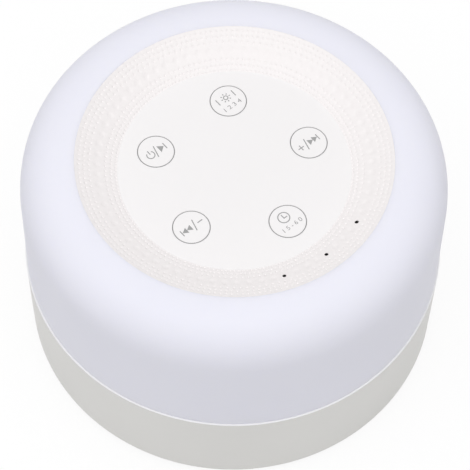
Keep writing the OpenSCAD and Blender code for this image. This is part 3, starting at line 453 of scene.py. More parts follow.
class Signal:
    """A socket that takes part in Python expressions, each of which adds a Math node."""

    def __init__(self, graph, socket):
        self.graph, self.socket = graph, socket

    def math(self, operation, *values):
        return self.graph.node("ShaderNodeMath", {"operation": operation}, list(values))

    def __add__(self, other): return self.math("ADD", self, other)
    def __radd__(self, other): return self.math("ADD", other, self)
    def __sub__(self, other): return self.math("SUBTRACT", self, other)
    def __rsub__(self, other): return self.math("SUBTRACT", other, self)
    def __mul__(self, other): return self.math("MULTIPLY", self, other)
    def __rmul__(self, other): return self.math("MULTIPLY", other, self)
    def __truediv__(self, other): return self.math("DIVIDE", self, other)
    def __rtruediv__(self, other): return self.math("DIVIDE", other, self)
    def __gt__(self, other): return self.math("GREATER_THAN", self, other)
    def __lt__(self, other): return self.math("LESS_THAN", self, other)
    def sine(self): return self.math("SINE", self)
    def cosine(self): return self.math("COSINE", self)
    def root(self): return self.math("SQRT", self)
    def ceiling(self): return self.math("CEIL", self)
    def above(self, other): return self.math("MAXIMUM", self, other)


class Graph:
    """Adds nodes to a shader tree or a Geometry Nodes tree."""

    def __init__(self, tree):
        self.tree = tree

    def node(self, kind, options=None, inputs=(), output=0):
        """Makes a node, sets its options and then its inputs, and returns one of its outputs."""
        made = self.tree.nodes.new(kind)
        for option, value in (options or {}).items():
            if option == "stops":
                self.set_stops(made.color_ramp, value)
            else:
                setattr(made, option, value)
        named = inputs.items() if isinstance(inputs, dict) else enumerate(inputs)
        for key, value in named:
            self.feed(self.find(made.inputs, key), value)
        return Signal(self, self.find(made.outputs, output)) if made.outputs else None

    def direct(self):
        """1 for what is seen by the camera, in metal or through glass, and 0 for plain light."""
        rays = ("Is Camera Ray", "Is Glossy Ray", "Is Transmission Ray")
        camera, glossy, clear = [self.node("ShaderNodeLightPath", output=ray) for ray in rays]
        return camera.above(glossy).above(clear)

    @staticmethod
    def find(sockets, key):
        """Socket by its place, its identifier or its name."""
        if isinstance(key, int):
            return sockets[key]
        return next((s for s in sockets if s.identifier == key), None) or sockets[key]

    def feed(self, socket, value):
        """Links a signal to a socket, or sets the socket's own value."""
        if isinstance(value, Signal):
            self.tree.links.new(value.socket, socket)
        else:
            socket.default_value = value

    @staticmethod
    def set_stops(ramp, stops):
        """Gives a colour ramp its stops, as (place, grey) pairs."""
        while len(ramp.elements) < len(stops):
            ramp.elements.new(1)
        for element, (place, grey) in zip(ramp.elements, stops):
            element.position = place
            element.color = (grey, grey, grey, 1)


class Shader(Graph):
    """A material that reads Object coordinates and ends in one Principled shader."""

    def __init__(self, name):
        self.material = bpy.data.materials.new(name)
        self.material.use_nodes = True
        super().__init__(self.material.node_tree)
        self.tree.nodes.clear()
        self.place = self.node("ShaderNodeTexCoord", output="Object")

    def stretched(self, x, y, z):
        """Object coordinates, scaled by axis."""
        return self.node("ShaderNodeVectorMath", {"operation": "MULTIPLY"}, [self.place, (x, y, z)])

    def axes(self):
        """Object coordinates in metres, as three numbers."""
        return [self.node("ShaderNodeSeparateXYZ", inputs=[self.place], output=i) for i in range(3)]

    def noise(self, scale, detail=2.0, place=None):
        return self.node(
            "ShaderNodeTexNoise", {},
            {"Vector": place or self.place, "Scale": scale, "Detail": detail}, "Fac",
        )

    def cells(self, scale):
        return self.node("ShaderNodeTexVoronoi", {}, {"Vector": self.place, "Scale": scale}, "Distance")

    def ramp(self, signal, *stops):
        return self.node("ShaderNodeValToRGB", {"stops": stops}, [signal])

    def mix(self, factor, first, second):
        """Colour between two colours."""
        return self.node(
            "ShaderNodeMix", {"data_type": "RGBA"},
            {"Factor_Float": factor, "A_Color": opaque(first), "B_Color": opaque(second)}, "Result_Color",
        )

    def bump(self, height, depth):
        """Normal of a relief that is depth metres deep."""
        return self.node("ShaderNodeBump", {}, {"Strength": 1.0, "Distance": depth, "Height": height})

    def finish(self, colour, roughness, relief=None, **constants):
        """Ends the tree. Constants are set on the shader's own sockets, with _ for a space."""
        inputs = {"Base Color": opaque(colour), "Roughness": roughness}
        if relief:
            inputs["Normal"] = relief
        inputs.update({name.replace("_", " "): value for name, value in constants.items()})
        surface = self.node("ShaderNodeBsdfPrincipled", {}, inputs)
        self.node("ShaderNodeOutputMaterial", {}, {"Surface": surface})
        return self.material


def opaque(colour):
    """Adds alpha to a colour, and leaves a signal alone."""
    return colour if isinstance(colour, Signal) else (*colour[:3], 1)


# ---- Finishes ----

def moulded(name, colour, second, roughness=0.45, grain=0.006, beyond=None, **constants):
    """Moulded plastic: cloudy mottling, fine spark-eroded grain and slightly uneven gloss.

    beyond is a radius and the colour that the plastic turns to outside it."""
    shader = Shader(name)
    cloud = shader.noise(38, 3)
    speck = shader.noise(900, 1)
    fine = shader.noise(3800, 2)
    tint = shader.mix(0.75 * cloud + 0.25 * speck, colour, second)
    if beyond:
        x, y, _ = shader.axes()
        tint = shader.mix((x * x + y * y).root() > beyond[0], tint, beyond[1])
    relief = shader.bump(0.7 * fine + 0.3 * speck, grain * MM)
    return shader.finish(tint, roughness + 0.12 * (cloud - 0.5), relief, **constants)


def frosted(settings):
    """Frosted shade: light scatters in the wall, over a fine even grain."""
    return moulded(
        "frosted_shade", settings.colour, settings.shadow_colour, 0.5, 0.005,
        Subsurface_Weight=settings.glow, Subsurface_Radius=(1.0, 1.0, 1.1), Subsurface_Scale=0.0015,
        Specular_IOR_Level=0.35,
    )


def printed(name, colour):
    """Screen-printed ink, a little thin at the edges of its dots."""
    shader = Shader(name)
    dots = shader.cells(5200)
    body = shader.noise(1500, 2)
    lighter = [min(1, 1.25 * c) for c in colour]
    tint = shader.mix(0.6 * dots + 0.4 * body, colour, lighter)
    return shader.finish(tint, 0.5 + 0.2 * body, shader.bump(dots, 0.002 * MM))


def metal(name, colour, second, roughness=0.35, along=(1, 1, 1), grain=0.004):
    """Metal with drawing or grinding marks that run across the scaled axes."""
    shader = Shader(name)
    marks = shader.noise(1400, 3, shader.stretched(*along))
    patches = shader.noise(160, 2)
    tint = shader.mix(0.5 * marks + 0.5 * patches, colour, second)
    return shader.finish(
        tint, roughness + 0.25 * (marks - 0.5) + 0.1 * patches, shader.bump(marks, grain * MM),
        Metallic=1.0,
    )


def board(name, mask, trace, pad):
    """Circuit board: solder mask over a grid of traces, with small plated pads."""
    shader = Shader(name)
    x, y, _ = shader.axes()
    wander = shader.noise(90, 0)
    across = ((x * 5200 + wander * 9).sine() > 0.72) * (shader.noise(130, 0) > 0.5)
    along = ((y * 5200 + wander * 7).sine() > 0.72) * (shader.noise(130, 0) < 0.46)
    pads = shader.cells(420) < 0.16
    tint = shader.mix(pads, shader.mix(across.above(along), mask, trace), pad)
    relief = shader.bump(across.above(along) + pads, 0.02 * MM)
    return shader.finish(tint, 0.32 + 0.2 * shader.noise(700, 1), relief)


def woven(name, warp, weft, threads, depth):
    """Cloth with threads to the metre, over and under in turn."""
    shader = Shader(name)
    x, y, _ = shader.axes()
    weave = (x * threads).sine() * (y * threads).sine()
    fuzz = shader.noise(threads / 2, 2)
    tint = shader.mix(0.5 + 0.5 * weave, warp, weft)
    return shader.finish(
        tint, 0.8 + 0.15 * fuzz, shader.bump(0.5 + 0.35 * weave + 0.3 * fuzz, depth * MM),
        Sheen_Weight=0.2,
    )


def striped(name, colour, second, lines, axis, roughness, depth, metallic=0.0):
    """Lines to the metre across one axis, as in a winding or a flat cable."""
    shader = Shader(name)
    wave = 0.5 + 0.5 * (shader.axes()[axis] * lines * math.tau).sine()
    dust = shader.noise(800, 2)
    tint = shader.mix(0.8 * wave + 0.2 * dust, colour, second)
    return shader.finish(
        tint, roughness + 0.15 * dust, shader.bump(wave, depth * MM), Metallic=metallic,
    )


def porous(name, colour, second, cells, depth, roughness):
    """Foam, ferrite or paper: closed cells or grains of one size."""
    shader = Shader(name)
    grains = shader.cells(cells)
    patches = shader.noise(cells / 6, 3)
    tint = shader.mix(0.6 * grains + 0.4 * patches, colour, second)
    return shader.finish(tint, roughness + 0.1 * patches, shader.bump(grains, depth * MM))


def film(name, colour, second, roughness, **constants):
    """Thin wrap with faint creases."""
    shader = Shader(name)
    creases = shader.noise(120, 4, shader.stretched(1, 2.4, 1))
    fold = shader.ramp(creases, (0.42, 0.0), (0.5, 1.0), (0.58, 0.0))
    tint = shader.mix(0.3 * creases, colour, second)
    return shader.finish(
        tint, roughness + 0.15 * creases, shader.bump(0.4 * fold + creases, 0.03 * MM), **constants,
    )


def make_finishes():
    """Every finish, by the name of the slot that it is for."""
    shade, panel, base = settings().shade, settings().panel, settings().base
    steel, dark = linear(196, 198, 201), linear(150, 152, 156)
    black, soot = linear(34, 34, 37), linear(22, 22, 24)
    return {
        "shade_plastic": frosted(shade),
        "panel_plastic": moulded(
            "satin_panel", panel.colour, panel.shadow_colour, 0.42,
            beyond=(panel.disc_radius, panel.ring_colour),
        ),
        "base_plastic": moulded("satin_base", base.colour, base.shadow_colour, 0.48, 0.008),
        "core_plastic": moulded("core_moulding", linear(240, 240, 236), linear(231, 231, 226), 0.5, 0.02),
        "socket_plastic": moulded("socket_moulding", linear(232, 224, 204), linear(222, 212, 190), 0.5),
        "chip_plastic": moulded("chip_moulding", black, linear(52, 52, 56), 0.55, 0.02),
        "lamp_plastic": moulded("lamp_lens", linear(242, 236, 200), linear(247, 222, 128), 0.25, 0.004),
        "clear_plastic": film(
            "clear_guide", linear(236, 240, 243), linear(220, 228, 235), 0.08,
            Transmission_Weight=0.8, IOR=1.49,
        ),
        "board_laminate": board(
            "green_board", linear(38, 92, 64), linear(62, 128, 86), linear(205, 178, 110),
        ),
        "white_laminate": board(
            "white_board", linear(240, 240, 236), linear(228, 228, 222), linear(205, 200, 190),
        ),
        "tag_board": porous("tag_board", linear(120, 84, 46), linear(96, 64, 34), 1800, 0.01, 0.6),
        "screw_steel": metal("zinc_screws", steel, linear(168, 172, 168), 0.3),
        "frame_steel": metal("pressed_frame", dark, linear(120, 122, 126), 0.4, (1, 1, 6)),
        "socket_steel": metal("nickel_shell", linear(206, 206, 208), linear(180, 180, 184), 0.28, (1, 8, 8)),
        "can_aluminium": metal("drawn_can", linear(214, 216, 219), linear(188, 190, 194), 0.35, (8, 8, 1)),
        "ferrite": porous("ferrite", linear(58, 58, 62), linear(42, 42, 46), 2600, 0.012, 0.62),
        "coil_copper": striped(
            "enamelled_winding", linear(176, 98, 48), linear(128, 62, 28), 4000, 2, 0.3, 0.05, 1.0,
        ),
        "cone_paper": porous("cone_paper", linear(62, 61, 58), linear(44, 43, 41), 1500, 0.03, 0.85),
        "spider_cloth": woven("spider_cloth", linear(184, 142, 84), linear(150, 110, 60), 9000, 0.08),
        "grille_mesh": woven("grille_mesh", black, soot, 8000, 0.1),
        "foam": porous("foam", linear(52, 52, 54), linear(34, 34, 36), 1300, 0.06, 0.9),
        "surround_rubber": moulded("surround_rubber", soot, linear(34, 34, 35), 0.6, 0.02),
        "foot_rubber": moulded("foot_rubber", linear(146, 146, 143), linear(132, 132, 129), 0.72, 0.03),
        "cell_wrap": film("cell_wrap", linear(124, 134, 148), linear(104, 114, 128), 0.32),
        "cable_film": striped(
            "flat_cable", linear(216, 200, 158), linear(186, 132, 74), 1000, 0, 0.28, 0.03,
        ),
        "red_insulation": film("red_lead", linear(178, 44, 38), linear(156, 34, 30), 0.35),
        "black_insulation": film("black_lead", linear(34, 34, 36), linear(24, 24, 26), 0.38),
    }


finishes = {}


# ---- Geometry Nodes ----

def geometry_tree(name, inputs):
    """Graph of a new tree with named inputs, and the sockets of those inputs."""
    tree = bpy.data.node_groups.new(name, "GeometryNodeTree")
    tree.interface.new_socket("Geometry", in_out="INPUT", socket_type="NodeSocketGeometry")
    for label, kind in inputs.items():
        tree.interface.new_socket(label, in_out="INPUT", socket_type=kind)
    tree.interface.new_socket("Geometry", in_out="OUTPUT", socket_type="NodeSocketGeometry")
    graph = Graph(tree)
    source = tree.nodes.new("NodeGroupInput")
    return graph, {s.name: Signal(graph, s) for s in source.outputs if s.name}


def copies_on(graph, sockets, count, radius, turn):
    """Ends a tree with a copy of its geometry at every point, realized and with its material."""
    spot = graph.node("ShaderNodeCombineXYZ", {}, [radius * turn.cosine(), radius * turn.sine()])
    points = graph.node("GeometryNodePoints", {}, {"Count": count, "Position": spot})
    angles = graph.node("ShaderNodeCombineXYZ", {}, {"Z": turn})
    facing = graph.node("FunctionNodeEulerToRotation", {}, [angles])
    copies = graph.node("GeometryNodeInstanceOnPoints", {}, {
        "Points": points, "Instance": sockets["Geometry"], "Rotation": facing,
    })
    real = graph.node("GeometryNodeRealizeInstances", {}, [copies])
    painted = graph.node("GeometryNodeSetMaterial", {}, {
        "Geometry": real, "Material": sockets["Material"],
    })
    graph.node("NodeGroupOutput", {}, [painted])
    return graph.tree


def ring_tree():
    """Copies at equal angles around the axis."""
    graph, sockets = geometry_tree("copies_around", {
        "Count": "NodeSocketInt", "Radius": "NodeSocketFloat", "Start": "NodeSocketFloat",
        "Step": "NodeSocketFloat", "Material": "NodeSocketMaterial",
    })
    turn = sockets["Start"] + graph.node("GeometryNodeInputIndex") * sockets["Step"]
    return copies_on(graph, sockets, sockets["Count"], sockets["Radius"], turn)


def grille_tree():
    """A copy in the middle and rings of 6, 12, 18 and so on around it, one pitch apart."""
    graph, sockets = geometry_tree("grille_holes", {
        "Rings": "NodeSocketInt", "Pitch": "NodeSocketFloat", "Material": "NodeSocketMaterial",
    })
    index = graph.node("GeometryNodeInputIndex")
    rings = sockets["Rings"]
    ring = (((9 + 12 * index).root() - 3) / 6).ceiling()
    before = 3 * ring * (ring - 1) + 1
    turn = (index - before) * math.tau / (6 * ring.above(1))
    return copies_on(graph, sockets, 1 + 3 * rings * (rings + 1), ring * sockets["Pitch"], turn)


def with_nodes(made, tree, values):
    """Runs a tree on the object with the given inputs, and keeps the result as plain mesh."""
    modifier = made.modifiers.new(tree.name, "NODES")
    modifier.node_group = tree
    identifiers = {
        item.name: item.identifier for item in tree.interface.items_tree if item.in_out == "INPUT"
    }
    for label, value in values.items():
        modifier[identifiers[label]] = value
    return bake(made)


def around(made, count, radius=0.0, start=0.0, step=None):
    """Copies of the object around the axis, with angles in degrees."""
    tree = bpy.data.node_groups.get("copies_around") or ring_tree()
    return with_nodes(made, tree, {
        "Count": count, "Radius": radius, "Start": math.radians(start),
        "Step": math.radians(step or FULL_TURN / count), "Material": finishes["panel_plastic"],
    })


def add_ring(piece, shape, operation, count, start=0.0, step=None):
    """Joins or cuts copies of a shape around the axis."""
    join(piece, around(build("tool", shape), count, start=start, step=step), operation)


def upright(circle, radius, low, high, turns=48):
    """Shape of an upright cylinder at a distance from the axis."""
    return lambda bm: round_bar(bm, radius, low, high, (circle, 0), turns)


# ---- Shade ----

WEB_HALF = 1.2 * MM  # half thickness of the web that ties a boss to the wall
WEB_ROOT = 0.2 * MM  # how far the web reaches into the wall
WEB_CLEARANCE = 1 * MM  # from the skirt's inside to the web


def shade_outline(s):
    """Closed outline of the shade's wall, from the skirt over the crown and back inside."""
    top = shade_high.z
    side = s.radius - s.draft
    shoulder_low = top - s.shoulder
    open_radius = settings().panel.rim_radius + s.rim_gap
    seat_top = top - settings().panel.edge_height
    seat_low = seat_top - s.seat_thickness
    neck_radius = open_radius + s.neck
    across, up = side - s.crown_radius, s.shoulder
    inner_across, inner_up = across - s.wall, up - s.wall
    reach = ((neck_radius - s.crown_radius) / inner_across) ** (s.fullness / 2)
    neck_angle = math.degrees(math.acos(reach))
    groove = base_high.z + s.skirt_gap
    centre = (s.crown_radius, shoulder_low)
    return (
        [(s.skirt_radius, s.skirt_low)]
        + arc((s.radius - s.edge, s.skirt_low + s.edge), s.edge, -90, 0, 4)
        + line_points((s.radius, s.skirt_low + 2 * s.edge), (side, shoulder_low), 8)
        + shoulder_curve(centre, across, up, s.fullness, 0, 90, 56)
        + arc((open_radius + s.edge, top - s.edge), s.edge, 90, 180, 6)
        + [(open_radius, seat_top), (open_radius - s.seat, seat_top), (open_radius - s.seat, seat_low),
           (neck_radius, seat_low)]
        + shoulder_curve(centre, inner_across, inner_up, s.fullness, neck_angle, 0, 24)
        + [(s.radius - s.wall, groove), (s.skirt_radius, groove)]
    )


class SOUND_MACHINE_OT_shade(bpy.types.Operator):
    """Makes the frosted shade with its crowned shoulder, its seat and its screw bosses"""
    bl_idname = "sound_machine.shade"
    bl_label = "Light shade"

    def execute(self, context):
        s = settings().shade
        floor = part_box("middle_plate")[1].z
        top = floor + s.boss_height
        piece = build("light_shade", lambda bm: lathe(bm, shade_outline(s), closed=True))
        boss = upright(s.boss_circle, s.boss_radius, floor, top)
        pilot = upright(s.boss_circle, s.pilot_radius, floor - MM, floor + s.pilot_depth)

        def web(bm):
            inner = s.radius - s.wall + WEB_ROOT
            corners = box_corners(s.boss_circle, inner, -WEB_HALF, WEB_HALF)
            prism(bm, corners, base_high.z + s.skirt_gap + WEB_CLEARANCE, top)

        for shape, operation in ((boss, "UNION"), (web, "UNION"), (pilot, "DIFFERENCE")):
            add_ring(piece, shape, operation, CORNERS, CORNER_ANGLE)
        smooth(piece)
        hand_over(piece, "housing", "shade_plastic", "diffuser_shade")
        return {"FINISHED"}


# ---- Panel ----

TILE_ANGLE = 10
TILE_SIDES = SHELL_TURNS * TILE_ANGLE // FULL_TURN
# Rows of dimples: radius in mm, angle between dimples, angle of the first one, diameter in mm,
# and the angle at which a tile of the ring is cut between them.
DIMPLE_ROWS = (
    (29.4, 2.0, 1.0, 0.56, 2.0),
    (30.55, 2.0, 0.0, 0.7, 1.0),
    (31.9, 2.5, 0.0, 0.84, 1.25),
    (33.95, 5.0, 0.0, 1.8, 2.5),
    (35.9, 2.5, 1.25, 0.84, 2.5),
    (37.15, 2.0, 0.0, 0.78, 1.0),
    (38.35, 2.0, 0.0, 0.76, 1.0),
)
LARGE_DIMPLE = 0.5 * MM  # a dimple is a large one beyond this radius
# Sides of a dimple, and the shares of its radius that carry its rings of points.
SMALL_SHAPE = (11, (1.0, 0.7, 0.38))
LARGE_SHAPE = (18, (1.0, 0.82, 0.6, 0.35))
PINHOLES = 3
PINHOLE_SIDES = 32
KEY_HOLE_EDGE = 0.06 * MM  # rounding around a key's opening
# Radius and depth of the pilot holes in the board's bosses and in the long ones.
BOARD_PILOT = (0.85 * MM, 5 * MM)
EAR_PILOT = (1.25 * MM, 7 * MM)
LINER_GAP = 0.005 * MM
LINER_WALL = 0.05 * MM
LINER_BELOW = 0.1 * MM  # under the panel
LINER_SUNK = 0.04 * MM  # under the panel's face


def dish_height(p, radius):
    """Height of the panel's face at a radius, with the crease around the disc rounded off."""
    disc = shade_high.z - p.depth
    share_out = (radius - p.disc_radius) / (p.rim_radius - p.disc_radius)
    slope = p.depth * (1 - p.sag) / (p.rim_radius - p.disc_radius)
    if radius <= p.disc_radius - p.crease:
        return disc
    if radius < p.disc_radius + p.crease:
        return disc + slope * (radius - p.disc_radius + p.crease) ** 2 / (4 * p.crease)
    return disc + p.depth * share_out * (1 - p.sag + p.sag * share_out)


def tile_dimples():
    """Centre, radius and angle of every dimple in one tile of the ring."""
    found = []
    for row_radius, pitch, first, diameter, cut in DIMPLE_ROWS:
        at = first
        while at < cut + TILE_ANGLE:
            if at > cut:
                found.append((Vector(on_circle(row_radius * MM, at)), diameter * MM / 2, at))
            at += pitch
    return found


def tile_edge(p, shift):
    """Zigzag that cuts a tile from the next one, from the disc to the rim."""
    rows = [(row[0] * MM, row[4]) for row in DIMPLE_ROWS]
    rows = [(p.disc_radius, rows[0][1]), *rows, (p.rim_radius - p.edge, rows[-1][1])]
    return [on_circle(radius, at + shift) for radius, at in rows]


def dimple_tile(p, pierced):
    """Mesh object of one tile: a sector of the sloped ring with its dimples pressed in."""
    dimples = tile_dimples()
    if pierced:
        dimples = [d for d in dimples if d[1] < LARGE_DIMPLE or d[2] < TILE_ANGLE]
    first_cut, last_cut = DIMPLE_ROWS[0][4], DIMPLE_ROWS[-1][4]
    step = TILE_ANGLE / TILE_SIDES
    outer = [on_circle(p.rim_radius - p.edge, last_cut + i * step) for i in range(1, TILE_SIDES)]
    inner = [on_circle(p.disc_radius, first_cut + i * step) for i in range(TILE_SIDES - 1, 0, -1)]
    border = tile_edge(p, 0) + outer + tile_edge(p, TILE_ANGLE)[::-1] + inner
    points = [Vector(point) / MM for point in border]
    edges = [(i, (i + 1) % len(border)) for i in range(len(border))]
    for centre, radius, _ in dimples:
        sides, shares = LARGE_SHAPE if radius > LARGE_DIMPLE else SMALL_SHAPE
        for part in shares:
            start = len(points)
            for i in range(sides):
                spin = math.tau * (i + part) / sides
                points.append((centre + radius * part * Vector((math.cos(spin), math.sin(spin)))) / MM)
                edges.append((start + i, start + (i + 1) % sides))
        points.append(centre / MM)
    flat, _, faces, *_ = geometry.delaunay_2d_cdt(points, edges, [], 1, 1e-6)

    def height(point):
        drop = 0
        for centre, radius, _ in dimples:
            away = (point - centre).length / radius
            if away < 1 and radius > LARGE_DIMPLE:
                drop = p.large_dimple_depth * (1 - away ** 2)
            elif away < 1:
                drop = p.dimple_depth * (0.5 + 0.5 * math.cos(math.pi * away))
        return dish_height(p, point.length) - drop

    def shape(bm):
        verts = [bm.verts.new((*(v * MM), height(v * MM))) for v in flat]
        for face in faces:
            bm.faces.new([verts[i] for i in face])

    return build("tile", shape)


def panel_blank(p):
    """Closed panel with its dimpled ring, before its holes and bosses."""
    bm = bmesh.new()
    turn = math.degrees(p.ring_turn)
    pinhole_at = FULL_TURN + TIMER_ANGLE - math.degrees(p.pinhole_step)
    pierced_at = pinhole_at - TILE_ANGLE + turn
    span = 2 * PINHOLES - 1  # tiles from the first pierced one to the last
    runs = (
        (True, PINHOLES, 0, 2),
        (False, PINHOLES - 1, 1, 2),
        (False, FULL_TURN // TILE_ANGLE - span, span, 1),
    )
    for pierced, count, first, every in runs:
        start = pierced_at + first * TILE_ANGLE
        tiles = around(dimple_tile(p, pierced), count, start=start, step=every * TILE_ANGLE)
        bm.from_mesh(tiles.data)
        discard(tiles)
    disc, rim = p.disc_radius, p.rim_radius
    face = [0] + [disc + p.crease * (i / 4 - 1) for i in range(5)]
    lathe(bm, [(r, dish_height(p, r)) for r in face], first=DIMPLE_ROWS[0][4] + turn)
    edge_top = dish_height(p, rim - p.edge)
    seat = shade_high.z - p.edge_height
    radii = [p.step_radius + (disc - p.crease - p.step_radius) * i / 12 for i in range(13)]
    slope = [(r, dish_height(p, r) - p.wall) for r in radii]
    under = (
        arc((rim - p.edge, edge_top - p.edge), p.edge, 90, 0, 6)
        + [(rim, seat), (p.step_radius, seat)]
        + slope
        + [(0, dish_height(p, 0) - p.wall)]
    )
    lathe(bm, under, first=DIMPLE_ROWS[-1][4] + turn)
    return as_object("top_panel_finish", bm)


class SOUND_MACHINE_OT_panel(bpy.types.Operator):
    """Makes the dished panel with its rows of dimples, key openings, pinholes and bosses"""
    bl_idname = "sound_machine.panel"
    bl_label = "Dished panel"

    def execute(self, context):
        p, k = settings().panel, settings().keys
        piece = panel_blank(p)
        disc = dish_height(p, 0)
        under = disc - p.wall
        root = p.wall / 4  # how far a boss reaches into the panel
        board_top, ear_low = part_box("key_board")[1].z, panel_low.z
        near = dish_height(p, p.ear_boss_circle - p.ear_boss_radius)
        boss_angle = TIMER_ANGLE + KEY_STEP / 2
        pinhole_step = math.degrees(p.pinhole_step)

        def key_opening(bm):
            opening, edge = k.cap_radius + k.gap, KEY_HOLE_EDGE
            outline = (
                [(0, under - MM), (opening, under - MM)]
                + arc((opening + edge, disc - edge), edge, 180, 90, 3)[:-1]
                + [(opening + edge, disc + MM), (0, disc + MM)]
            )
            lathe(bm, outline, 96, centre=(k.circle_radius, 0))

        def pilot(circle, low, size):
            radius, depth = size
            return upright(circle, radius, low - MM, low + depth, PINHOLE_SIDES)

        board_boss = upright(p.board_boss_circle, p.board_boss_radius, board_top, under + root)
        ear_boss = upright(p.ear_boss_circle, p.ear_boss_radius, ear_low, near - root)
        board_pilot = pilot(p.board_boss_circle, board_top, BOARD_PILOT)
        ear_pilot = pilot(p.ear_boss_circle, ear_low, EAR_PILOT)
        pinhole = upright(p.pinhole_circle, p.pinhole_radius, under, shade_high.z + MM, PINHOLE_SIDES)
        for shape, operation, count, start, step in (
            (board_boss, "UNION", len(KEYS), boss_angle, KEY_STEP),
            (ear_boss, "UNION", CORNERS, CORNER_ANGLE, None),
            (board_pilot, "DIFFERENCE", len(KEYS), boss_angle, KEY_STEP),
            (ear_pilot, "DIFFERENCE", CORNERS, CORNER_ANGLE, None),
            (key_opening, "DIFFERENCE", len(KEYS), TIMER_ANGLE, KEY_STEP),
            (pinhole, "DIFFERENCE", PINHOLES, TIMER_ANGLE - pinhole_step, pinhole_step),
        ):
            add_ring(piece, shape, operation, count, start, step)
        smooth(piece, 45)
        hand_over(piece, "housing", "panel_plastic", "top_panel")
        self.line_pinholes(p, pinhole_step)
        return {"FINISHED"}

    def line_pinholes(self, p, step):
        """Thin black tubes in the pinholes, which make the holes read dark."""
        outer = p.pinhole_radius - LINER_GAP
        inner = outer - LINER_WALL
        low = dish_height(p, p.pinhole_circle) - p.wall - LINER_BELOW
        top = dish_height(p, p.pinhole_circle - p.pinhole_radius) - LINER_SUNK
        outline = [(outer, low), (outer, top), (inner, top), (inner, low)]
        liners = build("pinhole_liners", lambda bm: lathe(bm, outline, PINHOLE_SIDES, closed=True))
        around(liners, PINHOLES, p.pinhole_circle, TIMER_ANGLE - step, step)
        smooth(liners)
        hand_over(liners, "housing", "foam")


# ---- Keys ----

class SOUND_MACHINE_OT_keys(bpy.types.Operator):
    """Makes the five round keys with their flanges and stems"""
    bl_idname = "sound_machine.keys"
    bl_label = "Keys"

    def execute(self, context):
        k = settings().keys
        flange_top = cap_high.z - k.cap_height
        flange_low = flange_top - k.flange
        flange_radius = (cap_high.x - cap_low.x) / 2
        outline = (
            [(0, cap_low.z), (k.stem_radius, cap_low.z), (k.stem_radius, flange_low),
             (flange_radius, flange_low), (flange_radius, flange_top), (k.cap_radius, flange_top)]
            + arc((k.cap_radius - k.edge, cap_high.z - k.edge), k.edge, 0, 90, 6)
            + [(0, cap_high.z)]
        )
        for index, key in enumerate(KEYS):
            name = f"{key}_key"
            piece = build(f"{name}_cap", lambda bm: lathe(bm, outline, 128, centre=key_place(index)))
            smooth(piece, 40)
            hand_over(piece, key, "panel_plastic", name)
        return {"FINISHED"}


# ---- Print ----

ARC_STEP = 9  # degrees between the points of a printed arc


class Print:
    """Flat ink shapes on one key, in millimetres from the key's centre."""

    def __init__(self, index, keys, low, high):
        self.bm = bmesh.new()
        self.centre = Vector(key_place(index))
        self.line, self.digit_height = keys.line / MM, keys.digit_height / MM
        self.low, self.high = low, high

    def shape(self, points):
        """Filled outline."""
        prism(self.bm, [self.centre + Vector(p) * MM for p in points], self.low, self.high)

    def bar(self, x, y, span, lean=0.0):
        """Straight line about (x, y), upright and leaning to the right by lean degrees."""
        along = Vector((math.sin(math.radians(lean)), math.cos(math.radians(lean)))) * span / 2
        across = Vector((along.y, -along.x)).normalized() * self.line / 2
        middle = Vector((x, y))
        low, high = middle - along, middle + along
        self.shape([high - across, high + across, low + across, low - across])

    def arc(self, x, y, radius, start=0.0, end=FULL_TURN):
        """Line along an arc, or along a whole circle."""
        steps = max(8, round((end - start) / ARC_STEP))
        turns = [math.radians(start + (end - start) * i / steps) for i in range(steps + 1)]
        rim = [Vector((math.cos(t), math.sin(t))) for t in turns]
        middle = Vector((x, y))
        outer, inner = radius + self.line / 2, radius - self.line / 2
        if end - start < FULL_TURN:
            self.shape([middle + v * outer for v in rim] + [middle + v * inner for v in rim[::-1]])
            return
        low, high = self.low, self.high
        outline = [(outer * MM, low), (outer * MM, high), (inner * MM, high), (inner * MM, low)]
        lathe(self.bm, outline, steps, closed=True, centre=self.centre + middle * MM)

    def arrow(self, x, y, width, height, side=1):
        """Filled triangle that points to the right, or to the left with side -1."""
        corners = [(x - side * width / 2, y - height / 2), (x + side * width / 2, y),
                   (x - side * width / 2, y + height / 2)]
        self.shape(corners if side > 0 else corners[::-1])

    def plus(self, x, y, span):
        """Upright cross."""
        self.shape([(x + u, y + v) for u, v in cross(span / 2, self.line / 2)])

    def digits(self, text, x, y, width):
        """Plain numbers, centred on x and standing on y."""
        curve = bpy.data.curves.new("digits", "FONT")
        curve.body = text
        curve.align_x = "CENTER"
        curve.extrude = (self.high - self.low) / MM / 2
        curve.resolution_u = 3
        curve.space_character = 1.5
        made = place("digits", curve)
        mesh = bpy.data.meshes.new_from_object(made.evaluated_get(bpy.context.evaluated_depsgraph_get()))
        bpy.data.objects.remove(made)
        bpy.data.curves.remove(curve)
        xs, ys = [v.co.x for v in mesh.vertices], [v.co.y for v in mesh.vertices]
        stretch = Vector((width / (max(xs) - min(xs)), self.digit_height / (max(ys) - min(ys))))
        middle_x, low_y = (max(xs) + min(xs)) / 2, min(ys)
        for v in mesh.vertices:
            v.co.x = self.centre.x + (x + (v.co.x - middle_x) * stretch.x) * MM
            v.co.y = self.centre.y + (y + (v.co.y - low_y) * stretch.y) * MM
            v.co.z = self.high if v.co.z > 0 else self.low
        self.bm.from_mesh(mesh)
        bpy.data.meshes.remove(mesh)


LAMP = (0.12, 1.13)  # centre of the lamp's sign
RAY = 1.15  # from that centre to the middle of a ray
SLANT = 15  # lean of a stroke between two signs

